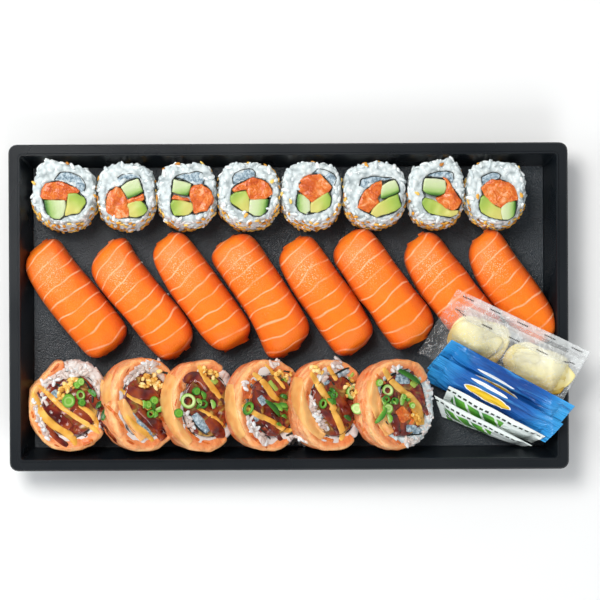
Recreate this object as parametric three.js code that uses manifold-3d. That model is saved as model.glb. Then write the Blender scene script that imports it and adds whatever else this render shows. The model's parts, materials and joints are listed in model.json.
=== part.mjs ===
// A takeaway sushi tray: a black formed tray with a row of inside-out rolls, a row of salmon
// nigiri, a fanned row of topped rolls, and sachets of ginger, soy sauce and wasabi.
//
// Millimetres, +Z up. The origin is the middle of the tray's underside, which stands at z = 0.
// +X runs along the tray's long side, and +Y points to the row of inside-out rolls.
// Every item of food and every sachet is one closed solid of its own.

import * as THREE from "three";
import { mergeVertices } from "three/addons/utils/BufferGeometryUtils.js";
import Module from "manifold-3d";

const wasm = await Module();
wasm.setup();

// ---------------------------------------------------------------- driving dimensions

// tray
const TRAY_LENGTH = 280;
const TRAY_WIDTH = 163.5;
const TRAY_HEIGHT = 20;
const RIM_WIDTH = 5.9;
const RIM_RADIUS = 4.2;
const RIM_LIP = 3.5;
const BEAD_WIDTH = 1.1;
const BEAD_HEIGHT = 0.5;
const WALL_DRAFT = 4.8;
const SHEET = 1;
const WALL_RADIUS = 1.2;
const RIM_EDGE = 0.7;
const FLOOR_EDGE = 0.6;
const CORNER_STEPS = 4;

// how far apart touching pieces are kept
const GAP = 0.3;
const FLOOR = SHEET + GAP;

// inside-out rolls: one row against the back wall
const ROLL_HEIGHT = 24;
const ROLL_LEAN = 3.4;
const ROLL_ROW_LEFT = -128.3;
const ROLL_ROW_Y = 57.2;
const ROLL_SPACE = 0.5;
const FILLING_RADIUS = 10.2;
const FILLING_DROP = 2.5;
const RICE_BUMP = 0.45;
const RICE_SHOULDER = 2.2;
const SEED_LENGTH = 3.2;
const SEEDS_PER_ROLL = 4;
const ROLL_POINTS = 22;

// nigiri: a slab of salmon over a hand-pressed block of rice
const NIGIRI_HEIGHT = 20.5;
const NIGIRI_DROOP = 7;
const NIGIRI_TIP = 8;

// topped rolls: thick slices, each leaning on the one before it
const SLICE_THICKNESS = 16.2;
const SLICE_TILT = 30;
const SLICE_PITCH = 31.7;
const SLICE_DEPTH = 47.6;
const SLICE_WIDTH = 39.2;
const SLICE_ROW_LEFT = -96.4;
const SLICE_ROW_Y = -48.7;
const SLICE_SINK = 1.2;
const SLICE_POINTS = 22;
const DRIZZLE_WIDTH = 3.4;
const DRIZZLE_HEIGHT = 1.5;
const DRIZZLE_ROOT = 3;
const DRIZZLE_BOW = 1.6;
const DRIZZLE_LIFT = 0.5;
const ONION_RADIUS = 3.2;
const ONION_HEIGHT = 7;
const ONION_STANDS_OUT = 3.3;

// ---------------------------------------------------------------- small tools

const degrees = (angle) => (angle * Math.PI) / 180;
const mix = (a, b, t) => a + (b - a) * t;

// A repeatable random source, so that the food is uneven but the same every time.
function randomFrom(seed) {
  let state = seed;
  return () => {
    state = (state * 1664525 + 1013904223) % 4294967296;
    return state / 4294967296;
  };
}

// Closes a stack of rings, each with the same number of points, into one body.
// The rings run anticlockwise seen from the end of the stack.
function loft(rings) {
  const count = rings[0].length;
  const positions = [];
  const faces = [];
  for (const ring of rings) {
    for (const point of ring) {
      positions.push(...point);
    }
  }
  for (let level = 0; level < rings.length - 1; level += 1) {
    for (let i = 0; i < count; i += 1) {
      const a = level * count + i;
      const b = level * count + ((i + 1) % count);
      faces.push(a, b, b + count, a, b + count, a + count);
    }
  }
  const last = (rings.length - 1) * count;
  const first = capCentre(positions, rings[0]);
  const end = capCentre(positions, rings[rings.length - 1]);
  for (let i = 0; i < count; i += 1) {
    const next = (i + 1) % count;
    faces.push(first, next, i);
    faces.push(end, last + i, last + next);
  }
  const geometry = new THREE.BufferGeometry();
  geometry.setAttribute("position", new THREE.Float32BufferAttribute(positions, 3));
  geometry.setIndex(faces);
  return geometry;
}

// Adds the middle of a ring to the positions and returns its index.
function capCentre(positions, ring) {
  const middle = [0, 1, 2].map((axis) => ring.reduce((sum, p) => sum + p[axis], 0) / ring.length);
  positions.push(...middle);
  return positions.length / 3 - 1;
}

// three.js geometry to a manifold solid and back, for joining and cutting.
function toSolid(geometry) {
  const bare = geometry.clone();
  bare.deleteAttribute("normal");
  bare.deleteAttribute("uv");
  const merged = mergeVertices(bare, 1e-5);
  return new wasm.Manifold(
    new wasm.Mesh({
      numProp: 3,
      vertProperties: new Float32Array(merged.attributes.position.array),
      triVerts: new Uint32Array(merged.index.array),
    }),
  );
}

function toGeometry(solid) {
  const mesh = solid.getMesh();
  const geometry = new THREE.BufferGeometry();
  geometry.setAttribute("position", new THREE.BufferAttribute(mesh.vertProperties, 3));
  geometry.setIndex(new THREE.BufferAttribute(mesh.triVerts, 1));
  return geometry;
}

// The largest body of a solid, without the scraps that a cut can leave.
function largestBody(solid) {
  const bodies = solid.decompose();
  return bodies.reduce((best, body) => (body.volume() > best.volume() ? body : best));
}

// A radius of a rounded-square outline: a high power is squarer.
function superellipse(angle, halfX, halfY, power) {
  const c = Math.abs(Math.cos(angle)) / halfX;
  const s = Math.abs(Math.sin(angle)) / halfY;
  return 1 / (c ** power + s ** power) ** (1 / power);
}

// A swelling that fades away on both sides of an angle.
function swelling(angle, at, spread, height) {
  const away = Math.atan2(Math.sin(angle - at), Math.cos(angle - at));
  return height * Math.exp(-((away / spread) ** 2));
}

const tray = new THREE.Group();

function addMesh(name, geometry, color, roughness) {
  const material = new THREE.MeshStandardMaterial({ color, roughness });
  const mesh = new THREE.Mesh(geometry, material);
  mesh.name = name;
  tray.add(mesh);
  return mesh;
}

// ---------------------------------------------------------------- tray

const OUTER_X = TRAY_LENGTH / 2;
const OUTER_Y = TRAY_WIDTH / 2;
const MOUTH_X = OUTER_X - RIM_WIDTH;
const MOUTH_Y = OUTER_Y - RIM_WIDTH;
const FLOOR_X = MOUTH_X - WALL_DRAFT;
const FLOOR_Y = MOUTH_Y - WALL_DRAFT;

// One ring of the tray: a rectangle with round corners.
function trayRing(halfX, halfY, radius, z) {
  const ring = [];
  for (let corner = 0; corner < 4; corner += 1) {
    const signX = corner === 0 || corner === 3 ? 1 : -1;
    const signY = corner < 2 ? 1 : -1;
    for (let step = 0; step <= CORNER_STEPS; step += 1) {
      const angle = degrees(corner * 90 + (step * 90) / CORNER_STEPS);
      ring.push([
        signX * (halfX - radius) + radius * Math.cos(angle),
        signY * (halfY - radius) + radius * Math.sin(angle),
        z,
      ]);
    }
  }
  return ring;
}

// The section runs from the underside, up the outside, over the rim and down to the floor.
function buildTray() {
  const around = (grow, radius, z) => trayRing(FLOOR_X + grow, FLOOR_Y + grow, radius, z);
  const mouth = WALL_DRAFT;
  const outer = WALL_DRAFT + RIM_WIDTH;
  const inner = WALL_RADIUS;
  const bead = BEAD_WIDTH;
  const top = TRAY_HEIGHT;
  return loft([
    around(-FLOOR_EDGE, inner, 0),
    around(SHEET * 0.8, inner + SHEET, SHEET * 0.9),
    around(mouth + SHEET, inner + SHEET, top - SHEET),
    around(outer - SHEET, RIM_RADIUS - SHEET, top - SHEET),
    around(outer - SHEET, RIM_RADIUS - SHEET, top - RIM_LIP),
    around(outer, RIM_RADIUS, top - RIM_LIP),
    around(outer, RIM_RADIUS, top - RIM_EDGE),
    around(outer - RIM_EDGE, RIM_RADIUS - RIM_EDGE, top),
    around(mouth + bead * 1.3, inner + bead, top),
    around(mouth + bead, inner + bead, top + BEAD_HEIGHT),
    around(mouth + bead * 0.3, inner + bead * 0.3, top + BEAD_HEIGHT),
    around(mouth, inner, top),
    around(0, inner, SHEET + FLOOR_EDGE),
    around(-FLOOR_EDGE, inner, SHEET),
  ]);
}

const trayGeometry = buildTray();
const traySolid = toSolid(trayGeometry);
addMesh("tray", trayGeometry, "#20252a", 0.35);

// Food that leans on a wall of the tray takes the wall's slope. The solid is still in its own
// frame, so the tray is brought into that frame, moved a little way in, and cut away.
function pressIntoTray(solid, { x, y, turn }) {
  let pressed = solid;
  for (const inward of [-GAP, GAP]) {
    const wall = traySolid.translate([inward - x, -y, -FLOOR]).rotate([0, 0, -turn]);
    pressed = pressed.subtract(wall);
  }
  return largestBody(pressed);
}

// Adds a piece that was built round its own middle, standing on the tray's floor.
function addPlaced(name, solid, { x, y, turn }, color, roughness) {
  const mesh = addMesh(name, toGeometry(solid), color, roughness);
  mesh.position.set(x, y, FLOOR);
  mesh.rotation.z = degrees(turn);
}

// ---------------------------------------------------------------- inside-out rolls

// Each roll: its width and depth, the turn of its flat side, and a lump in its rice.
const rolls = [
  { width: 32.3, depth: 32, turn: -8, lump: { at: 120, spread: 0.18, height: 3.4 } },
  { width: 29.3, depth: 31.8, turn: 0, lump: { at: 200, spread: 0.3, height: 0.3 } },
  { width: 29.8, depth: 31.6, turn: 1, lump: { at: 55, spread: 0.3, height: 0.6 } },
  { width: 31.2, depth: 31.6, turn: -1, lump: { at: 130, spread: 0.3, height: 0.4 } },
  { width: 30.6, depth: 32, turn: -3, lump: { at: 150, spread: 0.2, height: 0.5 } },
  { width: 31.6, depth: 31.4, turn: 2, lump: { at: 40, spread: 0.3, height: 0.3 } },
  { width: 28.6, depth: 31.6, turn: -2, lump: { at: 66, spread: 0.32, height: 3 } },
  { width: 30.2, depth: 32, turn: -4, lump: { at: 100, spread: 0.3, height: 0.3 } },
];

// A roll stands on one cut end and shows the other. Its rice bulges low down, and its top
// leans back a little. Grain-sized bumps cover the side and the ring of rice on the cut end.
function buildRoll(roll, random) {
  const halfX = roll.width / 2;
  const halfY = roll.depth / 2;
  const sides = [
    { z: 0, grow: -1.6 },
    { z: 4, grow: -0.3 },
    { z: 10, grow: 0 },
    { z: 16.5, grow: 0 },
    { z: ROLL_HEIGHT - 1, grow: -0.7 },
  ];
  const rings = sides.map(({ z, grow }) => {
    const back = leanAt(z);
    const rough = z === 0 ? 0 : RICE_BUMP;
    return ringOf(ROLL_POINTS, (angle) => {
      const outline = rollOutline(angle, halfX, halfY, roll);
      const radius = outline + grow - rough + 2 * rough * (random() - 0.5);
      return [radius * Math.cos(angle), back + radius * Math.sin(angle), z];
    });
  });
  const faceRing = (share, lift, rough) =>
    ringOf(ROLL_POINTS, (angle) => {
      const edge = rollOutline(angle, halfX, halfY, roll) - RICE_SHOULDER;
      const x = mix(FILLING_RADIUS * Math.cos(angle), edge * Math.cos(angle), share);
      const y = mix(FILLING_RADIUS * Math.sin(angle) - FILLING_DROP, edge * Math.sin(angle), share);
      return [x, y, ROLL_HEIGHT + lift + rough * (random() - 0.5)];
    });
  rings.push(faceRing(0.93, 0, 0.5));
  rings.push(faceRing(0.45, 0.1, 1));
  rings.push(faceRing(0, -0.7, 0.2));
  rings.push(fillingRing(0.9, -0.1, random));
  rings.push(fillingRing(0.45, 0.3, random));
  return loft(rings);
}

// How far the middle of a roll is from its middle at the top: its foot stands further forward.
function leanAt(z) {
  return ROLL_LEAN * (z / ROLL_HEIGHT) ** 1.5 - ROLL_LEAN;
}

function ringOf(count, pointAt) {
  return Array.from({ length: count }, (_, i) => pointAt((i / count) * 2 * Math.PI));
}

// The far side of a roll is flatter, with corners; the near side is round.
function rollOutline(angle, halfX, halfY, roll) {
  const turned = angle - degrees(roll.turn);
  const power = Math.sin(turned) > 0 ? 3.1 : 2.2;
  const lump = swelling(angle, degrees(roll.lump.at), roll.lump.spread, roll.lump.height);
  return superellipse(turned, halfX, halfY, power) + lump;
}

function fillingRing(share, lift, random) {
  return ringOf(ROLL_POINTS, (angle) => [
    share * FILLING_RADIUS * Math.cos(angle),
    share * FILLING_RADIUS * Math.sin(angle) - FILLING_DROP,
    ROLL_HEIGHT + lift + 0.5 * random(),
  ]);
}

// A sesame seed: a long eight-sided drop, half sunk into the rice.
function seedAt(x, y, z, turn) {
  const seed = new THREE.OctahedronGeometry(1);
  seed.scale(SEED_LENGTH / 2, 1, 0.9);
  seed.rotateZ(turn);
  seed.translate(x, y, z);
  return toSolid(seed);
}

// The seeds lie round the near side, where the roll shows most of them.
function addSeeds(solid, roll, random) {
  let joined = solid;
  for (let i = 0; i < SEEDS_PER_ROLL; i += 1) {
    const angle = degrees(205 + (130 * i) / (SEEDS_PER_ROLL - 1));
    const z = mix(7, ROLL_HEIGHT - 3, random());
    const reach = rollOutline(angle, roll.width / 2, roll.depth / 2, roll) - 0.8;
    const turn = angle + Math.PI / 2;
    const seed = seedAt(reach * Math.cos(angle), leanAt(z) + reach * Math.sin(angle), z, turn);
    joined = joined.add(seed);
  }
  return largestBody(joined);
}

const rollRandom = randomFrom(11);
let rollLeft = ROLL_ROW_LEFT;
rolls.forEach((roll, i) => {
  const solid = addSeeds(toSolid(buildRoll(roll, rollRandom)), roll, rollRandom);
  const place = { x: rollLeft + roll.width / 2, y: ROLL_ROW_Y, turn: 0 };
  addPlaced(`inside_out_roll_${i + 1}`, pressIntoTray(solid, place), place, "#dfe3e1", 0.6);
  rollLeft += roll.width + ROLL_SPACE;
});

// ---------------------------------------------------------------- salmon nigiri

// Each nigiri: its middle, its length, the width of its head, waist and tail, its slant, and
// how far its head and its tail swerve sideways.
const nigiri = [
  { x: -108.3, y: 4.2, length: 64.6, widths: [22.5, 25.6, 26.1], slant: -51, skew: [3.1, -0.1] },
  { x: -73.9, y: 3.3, length: 65.9, widths: [26.3, 24.4, 23.3], slant: -49.3, skew: [4, -2.1] },
  { x: -44.8, y: 7.4, length: 65.8, widths: [20.7, 24.5, 22.1], slant: -54.2, skew: [1.6, 0.8] },
  { x: -13.3, y: 6.9, length: 65.2, widths: [24.6, 24.9, 28], slant: -57.1, skew: [-1.3, -3.8] },
  { x: 18.4, y: 5.4, length: 63.8, widths: [21.6, 25.1, 24.3], slant: -55.4, skew: [1.7, -1.6] },
  { x: 47.3, y: 8.9, length: 64.6, widths: [23.8, 25.7, 26.9], slant: -54.7, skew: [1.2, -0.5] },
  { x: 81.9, y: 6.6, length: 65.8, widths: [20.7, 25.5, 25.6], slant: -52, skew: [2.9, -1.6] },
  { x: 112.2, y: 8.2, length: 63, widths: [19.5, 24, 19.4], slant: -54, skew: [4, -1.4], tailDroop: 1 },
];

// Stations along a nigiri, as shares of its half length, from head to tail.
const NIGIRI_STATIONS = [-1, -0.96, -0.86, -0.5, 0, 0.5, 0.86, 0.96, 1];

// Half of the section, from the base to the crown: shares of the half width and of the height.
const NIGIRI_SECTION = [
  [0.84, 0],
  [0.93, 0.17],
  [1, 0.26],
  [0.985, 0.46],
  [0.86, 0.72],
  [0.5, 0.94],
  [0, 1],
];

function nigiriWidth(piece, along) {
  const [head, waist, tail] = piece.widths;
  const body = along < 0 ? mix(waist, head, along ** 2) : mix(waist, tail, along ** 2);
  return body * Math.sqrt(1 - along ** 12);
}

function nigiriMiddle(piece, along) {
  const [head, tail] = piece.skew;
  return (along < 0 ? head : tail) * Math.abs(along) ** 3;
}

// The rice block rises from the floor; the slab over it hangs down at both ends.
function nigiriHeight(piece, along) {
  const droop = along > 0 ? (piece.tailDroop ?? NIGIRI_DROOP) : NIGIRI_DROOP;
  return NIGIRI_HEIGHT - droop * Math.abs(along) ** 4;
}

function buildNigiri(piece, random) {
  const rings = NIGIRI_STATIONS.map((along) => {
    const half = Math.max(nigiriWidth(piece, along), NIGIRI_TIP) / 2;
    const height = nigiriHeight(piece, along);
    const drift = nigiriMiddle(piece, along) + along ** 2 * 0.2 * (random() - 0.5);
    const x = (along * piece.length) / 2;
    const right = NIGIRI_SECTION.map(([w, h]) => [x, drift + w * half, h * height]);
    const left = NIGIRI_SECTION.map(([w, h]) => [x, drift - w * half, h * height]);
    return [...right, ...left.slice(0, -1).reverse()];
  });
  return loft(rings);
}

const nigiriRandom = randomFrom(23);
const nigiriSolids = nigiri.map((piece, i) => {
  const place = { x: piece.x, y: piece.y, turn: piece.slant };
  const solid = pressIntoTray(toSolid(buildNigiri(piece, nigiriRandom)), place);
  addPlaced(`salmon_nigiri_${i + 1}`, solid, place, "#f2691c", 0.35);
  return solid.rotate([0, 0, place.turn]).translate([place.x, place.y, FLOOR]);
});

// How high the nigiri reach at a place in the tray, for what lies on them.
function nigiriTop(x, y) {
  const heights = nigiri.map((piece) => {
    const offset = new THREE.Vector2(x - piece.x, y - piece.y);
    offset.rotateAround(new THREE.Vector2(), degrees(-piece.slant));
    const along = offset.x / (piece.length / 2);
    if (Math.abs(along) >= 1) {
      return 0;
    }
    const beside = Math.abs(offset.y - nigiriMiddle(piece, along));
    const across = beside / (nigiriWidth(piece, along) / 2);
    return across < 1 ? FLOOR + nigiriHeight(piece, along) * (1 - across ** 4) ** 0.5 : 0;
  });
  return Math.max(...heights);
}

// ---------------------------------------------------------------- topped rolls

// Each slice: its left edge, width, depth, tilt and thickness, how far back it stands, and
// the flat of one that isn't round.
// Drizzles run over the cut face; their ends, and the onions, are shares of its half sizes.
const slices = [
  {
    left: -132.9,
    width: 42,
    depth: 47.4,
    tilt: 7,
    thickness: 21.5,
    back: 0.2,
    flat: [138.6, 20.6],
    drizzles: [
      [-0.55, 0.42, 0.12, -0.88],
      [-0.42, 0.5, 0.72, -0.62],
      [0.28, 0.12, 0.86, -0.5],
    ],
    onions: [
      [0.12, 0.5],
      [0.1, 0.05],
    ],
  },
  {
    drizzles: [
      [-0.86, 0.4, 0.1, -0.9],
      [-0.7, 0.62, 0.3, 0.02],
      [0.1, 0.8, 0.62, 0],
    ],
    onions: [
      [0.05, -0.1],
      [0.3, -0.3],
    ],
  },
  {
    shift: -1.7,
    depth: 46.4,
    back: -0.6,
    drizzles: [
      [-0.8, 0.1, 0.1, -0.86],
      [0.15, 0.9, 0.72, 0.1],
      [0.4, -0.1, 0.84, -0.34],
    ],
    onions: [
      [-0.6, 0.02],
      [-0.1, 0.1],
      [0.2, -0.04],
    ],
  },
  {
    shift: -1.1,
    depth: 46.4,
    back: -0.6,
    drizzles: [
      [-0.3, 0.86, 0.42, -0.16],
      [-0.78, -0.1, 0.62, -0.72],
      [0.1, 0.86, 0.66, 0.3],
    ],
    onions: [
      [-0.74, -0.06],
      [0.1, -0.12],
      [0.46, 0],
    ],
  },
  {
    shift: -1.4,
    depth: 46.4,
    back: -0.6,
    drizzles: [
      [-0.4, 0.8, 0.5, -0.62],
      [0, 0.86, 0.8, 0.2],
      [-0.8, 0, 0.2, -0.88],
    ],
    onions: [
      [-0.3, -0.02],
      [0.08, 0.2],
      [0.72, 0.06],
    ],
  },
  {
    shift: -0.1,
    width: 41,
    depth: 46.4,
    back: -0.6,
    drizzles: [
      [-0.46, 0.84, 0.2, 0.1],
      [-0.6, 0.3, -0.1, -0.86],
      [0.3, 0.2, 0.88, -0.5],
    ],
    onions: [
      [-0.32, 0.56],
      [-0.1, 0.3],
      [-0.24, -0.1],
    ],
  },
];

// A slice pushed out of round has a flat: the way it faces, and how far out it lies.
function sliceRadius(angle, halfX, halfY, flat) {
  const radius = superellipse(angle, halfX, halfY, 2.25);
  const facing = flat ? Math.cos(angle - degrees(flat[0])) : 0;
  return facing > 0.3 ? Math.min(radius, flat[1] / facing) : radius;
}

// A slice lies with its cut face up: a coat of salmon round the far, left and near sides,
// bumpy rice inside it, and a mound of filling in the middle.
function buildSlice(halfX, halfY, thickness, flat, random) {
  const ringAt = (share, z, rough, shiftY) =>
    ringOf(SLICE_POINTS, (angle) => {
      const radius = sliceRadius(angle, halfX, halfY, flat) * share + 0.5 * (random() - 0.5);
      const y = shiftY + radius * Math.sin(angle);
      return [radius * Math.cos(angle), y, z + rough * (random() - 0.5)];
    });
  return loft([
    ringAt(0.94, 0, 0, -1),
    ringAt(0.99, thickness * 0.3, 0.3, -0.6),
    ringAt(0.975, thickness - 1.4, 0.4, 0),
    ringAt(0.91, thickness, 0.4, 0),
    ringAt(0.76, thickness + 0.2, 1, 0),
    ringAt(0.56, thickness + 0.3, 1.2, 0),
    ringAt(0.28, thickness + 0.9, 1, 0),
  ]);
}

// A thick line of sauce: a low six-sided bead with tapered ends.
function buildDrizzle([x0, y0, x1, y1], halfX, halfY, z) {
  const start = new THREE.Vector3(x0 * halfX, y0 * halfY, z);
  const end = new THREE.Vector3(x1 * halfX, y1 * halfY, z);
  const side = new THREE.Vector3(y0 * halfY - y1 * halfY, x1 * halfX - x0 * halfX, 0).normalize();
  const stations = [0, 0.1, 0.5, 0.9, 1];
  const rings = stations.map((t) => {
    const middle = new THREE.Vector3().lerpVectors(start, end, t);
    middle.addScaledVector(side, -DRIZZLE_BOW * Math.sin(Math.PI * t));
    const fat = t === 0 || t === 1 ? 0.35 : 1;
    return ringOf(6, (angle) => {
      const across = (Math.cos(angle) * fat * DRIZZLE_WIDTH) / 2;
      const up = Math.sin(angle) * (Math.sin(angle) > 0 ? fat * DRIZZLE_HEIGHT : DRIZZLE_ROOT);
      return [middle.x + side.x * across, middle.y + side.y * across, middle.z + up];
    });
  });
  return loft(rings);
}

// A ring of spring onion lies flat, rooted deep in the slice.
function buildOnion([x, y], halfX, halfY, z) {
  const ring = new THREE.CylinderGeometry(ONION_RADIUS * 0.8, ONION_RADIUS, ONION_HEIGHT, 6);
  ring.rotateX(Math.PI / 2);
  ring.translate(x * halfX, y * halfY, z + ONION_STANDS_OUT - ONION_HEIGHT / 2);
  return ring;
}

// Turns a slice about +Y so that its left edge rises, and sets it down on the floor.
function placeSlice(solid, { halfX, tilt, left, back, isFirst }) {
  const rise = isFirst ? 0 : halfX * Math.sin(degrees(tilt));
  const x = left + halfX * Math.cos(degrees(tilt));
  return solid
    .rotate([0, tilt, 0])
    .translate([x, SLICE_ROW_Y + back, FLOOR + rise - SLICE_SINK])
    .trimByPlane([0, 0, 1], FLOOR);
}

function placedSlice(spec, i) {
  const placed = {
    isFirst: i === 0,
    left: spec.left ?? SLICE_ROW_LEFT + (i - 1) * SLICE_PITCH + (spec.shift ?? 0),
    tilt: spec.tilt ?? SLICE_TILT,
    back: spec.back ?? 0,
    halfX: (spec.width ?? SLICE_WIDTH) / 2,
    halfY: (spec.depth ?? SLICE_DEPTH) / 2,
  };
  const { halfX, halfY } = placed;
  const thickness = spec.thickness ?? SLICE_THICKNESS;
  let solid = toSolid(buildSlice(halfX, halfY, thickness, spec.flat, randomFrom(41 + i)));
  for (const drizzle of spec.drizzles) {
    solid = solid.add(toSolid(buildDrizzle(drizzle, halfX, halfY, thickness + DRIZZLE_LIFT)));
  }
  for (const onion of spec.onions) {
    solid = solid.add(toSolid(buildOnion(onion, halfX, halfY, thickness)));
  }
  return placeSlice(solid, placed);
}

// Where a slice leans on the one before it, the lower one gives way by a little more than
// the slice's own shape.
function pressUnder(lower, upper) {
  const lowered = lower.subtract(upper.translate([0, 0, -GAP]));
  return largestBody(lowered.subtract(upper.translate([-GAP, 0, 0])));
}

const placedSlices = slices.map(placedSlice);
for (let i = placedSlices.length - 1; i >= 0; i -= 1) {
  const above = placedSlices[i + 1];
  placedSlices[i] = above ? pressUnder(placedSlices[i], above) : largestBody(placedSlices[i]);
}
placedSlices.forEach((solid, i) => {
  const pressed = largestBody(solid.subtract(traySolid.translate([GAP, 0, 0])));
  addMesh(`topped_roll_${i + 1}`, toGeometry(pressed), "#e8a063", 0.4);
});

// ---------------------------------------------------------------- sachets

// Each sachet: its corners in order round its face (far left, far right, near right, near
// left), how thick it is filled, how wide its flat sealed ends and sides are, and the least
// height of the tray's rim or of the sachets under it, which it clears.
const sachets = {
  ginger_sachet: {
    corners: [
      [84, 8.6, 25],
      [151, -23.4, 24],
      [133.5, -54, 12],
      [64.6, -23.4, 9],
    ],
    thickness: 9,
    end: 7,
    side: 7,
    rim: 21,
    drapes: true,
    color: "#e3dfae",
  },
  soy_sachet_1: {
    corners: [
      [81.2, -16.6, 25.4],
      [142.8, -50.4, 25.5],
      [130.6, -64.6, 8],
      [69.4, -31.6, 4.5],
    ],
    thickness: 4,
    end: 6,
    side: 1,
    rim: 23.6,
    color: "#1c5fb8",
  },
  soy_sachet_2: {
    corners: [
      [75.4, -24.4, 22],
      [136.9, -59.2, 25],
      [128, -68.6, 8],
      [67.6, -37, 3.4],
    ],
    thickness: 4,
    end: 6,
    side: 1,
    rim: 25.4,
    color: "#1c5fb8",
  },
  wasabi_sachet_1: {
    corners: [
      [80.2, -39.8, 15.8],
      [128.2, -65.4, 22.8],
      [122.6, -69.4, 5],
      [76.8, -49.6, 2.6],
    ],
    thickness: 3.2,
    end: 5,
    side: 1,
    rim: 0,
    color: "#e9edea",
  },
  wasabi_sachet_2: {
    corners: [
      [72.8, -44.8, 13.5],
      [122, -70.2, 17],
      [117.6, -70.9, 3.2],
      [77.2, -56, 2.6],
    ],
    thickness: 3.2,
    end: 5,
    side: 1,
    rim: 0,
    color: "#e9edea",
  },
};

// film thickness, the slope and run of the bend over the rim, the share of the filling above
// the middle surface, the length over which a sachet fills up, and its height over the nigiri
const FILM = 0.7;
const RIM_SLOPE = 1.5;
const RIM_RUN = 3;
const UPPER_SHARE = 0.66;
const FILLING_RUN = 12;
const DRAPE_CLEARANCE = 0.8;
const SACHET_ALONG = [0, 0.08, 0.2, 0.35, 0.5, 0.65, 0.8, 0.92, 1];
const SACHET_ACROSS = [0, 0.12, 0.35, 0.65, 0.88, 1];

// A sachet's middle surface spans its four corners, and bends up over the tray's rim and over
// the nigiri where it lies on them.
function sachetMiddle(sachet, u, v, under) {
  const [a, b, c, d] = sachet.corners;
  const point = [0, 1, 2].map((axis) => {
    return mix(mix(a[axis], b[axis], u), mix(d[axis], c[axis], u), v);
  });
  const inside = Math.max(0, MOUTH_X - RIM_RUN - point[0]);
  const rim = sachet.rim - RIM_SLOPE * inside;
  const food = sachet.drapes ? nigiriTop(point[0], point[1]) + DRAPE_CLEARANCE : 0;
  point[2] = Math.max(point[2], rim + under, food + under);
  return new THREE.Vector3(...point);
}

// How full the sachet is at a place: flat along its seals, plump in its middle.
function sachetFilling(sachet, u, v, length, width) {
  const fromEnd = Math.min(u, 1 - u) * length - sachet.end;
  const fromSide = Math.min(v, 1 - v) * width - sachet.side;
  if (fromEnd <= 0 || fromSide <= 0) {
    return 0;
  }
  const alongShare = Math.min(1, fromEnd / FILLING_RUN);
  const acrossShare = Math.min(1, fromSide / (width / 2 - sachet.side));
  const round = (share) => Math.sqrt(1 - (1 - share) ** 2);
  return sachet.thickness * round(alongShare) * round(acrossShare);
}

function buildSachet(sachet) {
  const [a, b, , d] = sachet.corners.map((corner) => new THREE.Vector3(...corner));
  const length = a.distanceTo(b);
  const width = a.distanceTo(d);
  const face = d.clone().sub(a).cross(b.clone().sub(a)).normalize();
  const up = sachet.drapes ? new THREE.Vector3(0, 0, 1) : face;
  const skin = (u, v, side) => {
    const filling = sachetFilling(sachet, u, v, length, width);
    const above = FILM / 2 + UPPER_SHARE * filling;
    const under = FILM / 2 + (1 - UPPER_SHARE) * filling;
    const reach = side > 0 ? above : -under;
    return sachetMiddle(sachet, u, v, under).addScaledVector(up, reach).toArray();
  };
  const rings = SACHET_ALONG.map((u) => {
    const top = SACHET_ACROSS.map((v) => skin(u, v, 1));
    const bottom = SACHET_ACROSS.map((v) => skin(u, v, -1)).reverse();
    return [...top, ...bottom];
  });
  return loft(rings);
}

// The sachets lie on the tray's rim, on the nigiri and on each other, in the order above.
// Each gives way a little to what is under it.
const underSachets = [traySolid, ...nigiriSolids];
for (const [name, sachet] of Object.entries(sachets)) {
  let solid = toSolid(buildSachet(sachet));
  for (const below of underSachets) {
    solid = solid.subtract(below.translate([0, 0, GAP])).subtract(below.translate([0, -GAP, 0]));
  }
  solid = largestBody(solid);
  underSachets.push(solid);
  addMesh(name, toGeometry(solid), sachet.color, 0.3);
}

export default tray;
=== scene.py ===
# %% [markdown]
# # A takeaway sushi tray
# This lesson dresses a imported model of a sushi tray: a black formed tray with three rows of
# food and five sachets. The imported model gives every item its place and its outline. Here each
# item is rebuilt from what it is made of: rice grains, seaweed, fish, vegetables, sauce and film.

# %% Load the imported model
import json
import math
from contextlib import contextmanager
from functools import partial

import bpy
import numpy as np
from mathutils import Matrix, Vector
from mathutils.bvhtree import BVHTree

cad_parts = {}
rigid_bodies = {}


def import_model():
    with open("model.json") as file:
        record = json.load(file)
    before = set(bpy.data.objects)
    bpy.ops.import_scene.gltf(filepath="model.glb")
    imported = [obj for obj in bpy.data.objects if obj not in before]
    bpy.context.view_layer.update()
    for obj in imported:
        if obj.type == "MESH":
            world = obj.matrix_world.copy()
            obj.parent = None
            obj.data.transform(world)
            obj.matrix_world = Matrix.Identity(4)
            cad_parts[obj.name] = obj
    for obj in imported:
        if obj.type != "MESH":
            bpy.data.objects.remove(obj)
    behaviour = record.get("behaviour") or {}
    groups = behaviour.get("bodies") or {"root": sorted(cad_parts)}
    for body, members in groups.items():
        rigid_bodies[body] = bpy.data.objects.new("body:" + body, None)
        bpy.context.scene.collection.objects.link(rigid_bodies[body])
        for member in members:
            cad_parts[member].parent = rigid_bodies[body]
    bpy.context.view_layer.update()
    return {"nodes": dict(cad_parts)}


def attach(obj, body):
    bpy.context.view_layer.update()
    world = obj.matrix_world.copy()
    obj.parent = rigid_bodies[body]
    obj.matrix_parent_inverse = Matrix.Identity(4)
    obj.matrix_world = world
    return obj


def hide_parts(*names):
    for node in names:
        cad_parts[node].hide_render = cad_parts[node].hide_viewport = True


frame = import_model()
MM = 0.001

# %% [markdown]
# ## Camera
# A catalogue picture of a food tray is taken from straight above with a long lens, so that the
# tray's sides hardly lean. A normal lens close by would show far more of the walls. The camera
# stands 1.6 m above the rim and is turned by a quarter of a degree.

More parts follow.
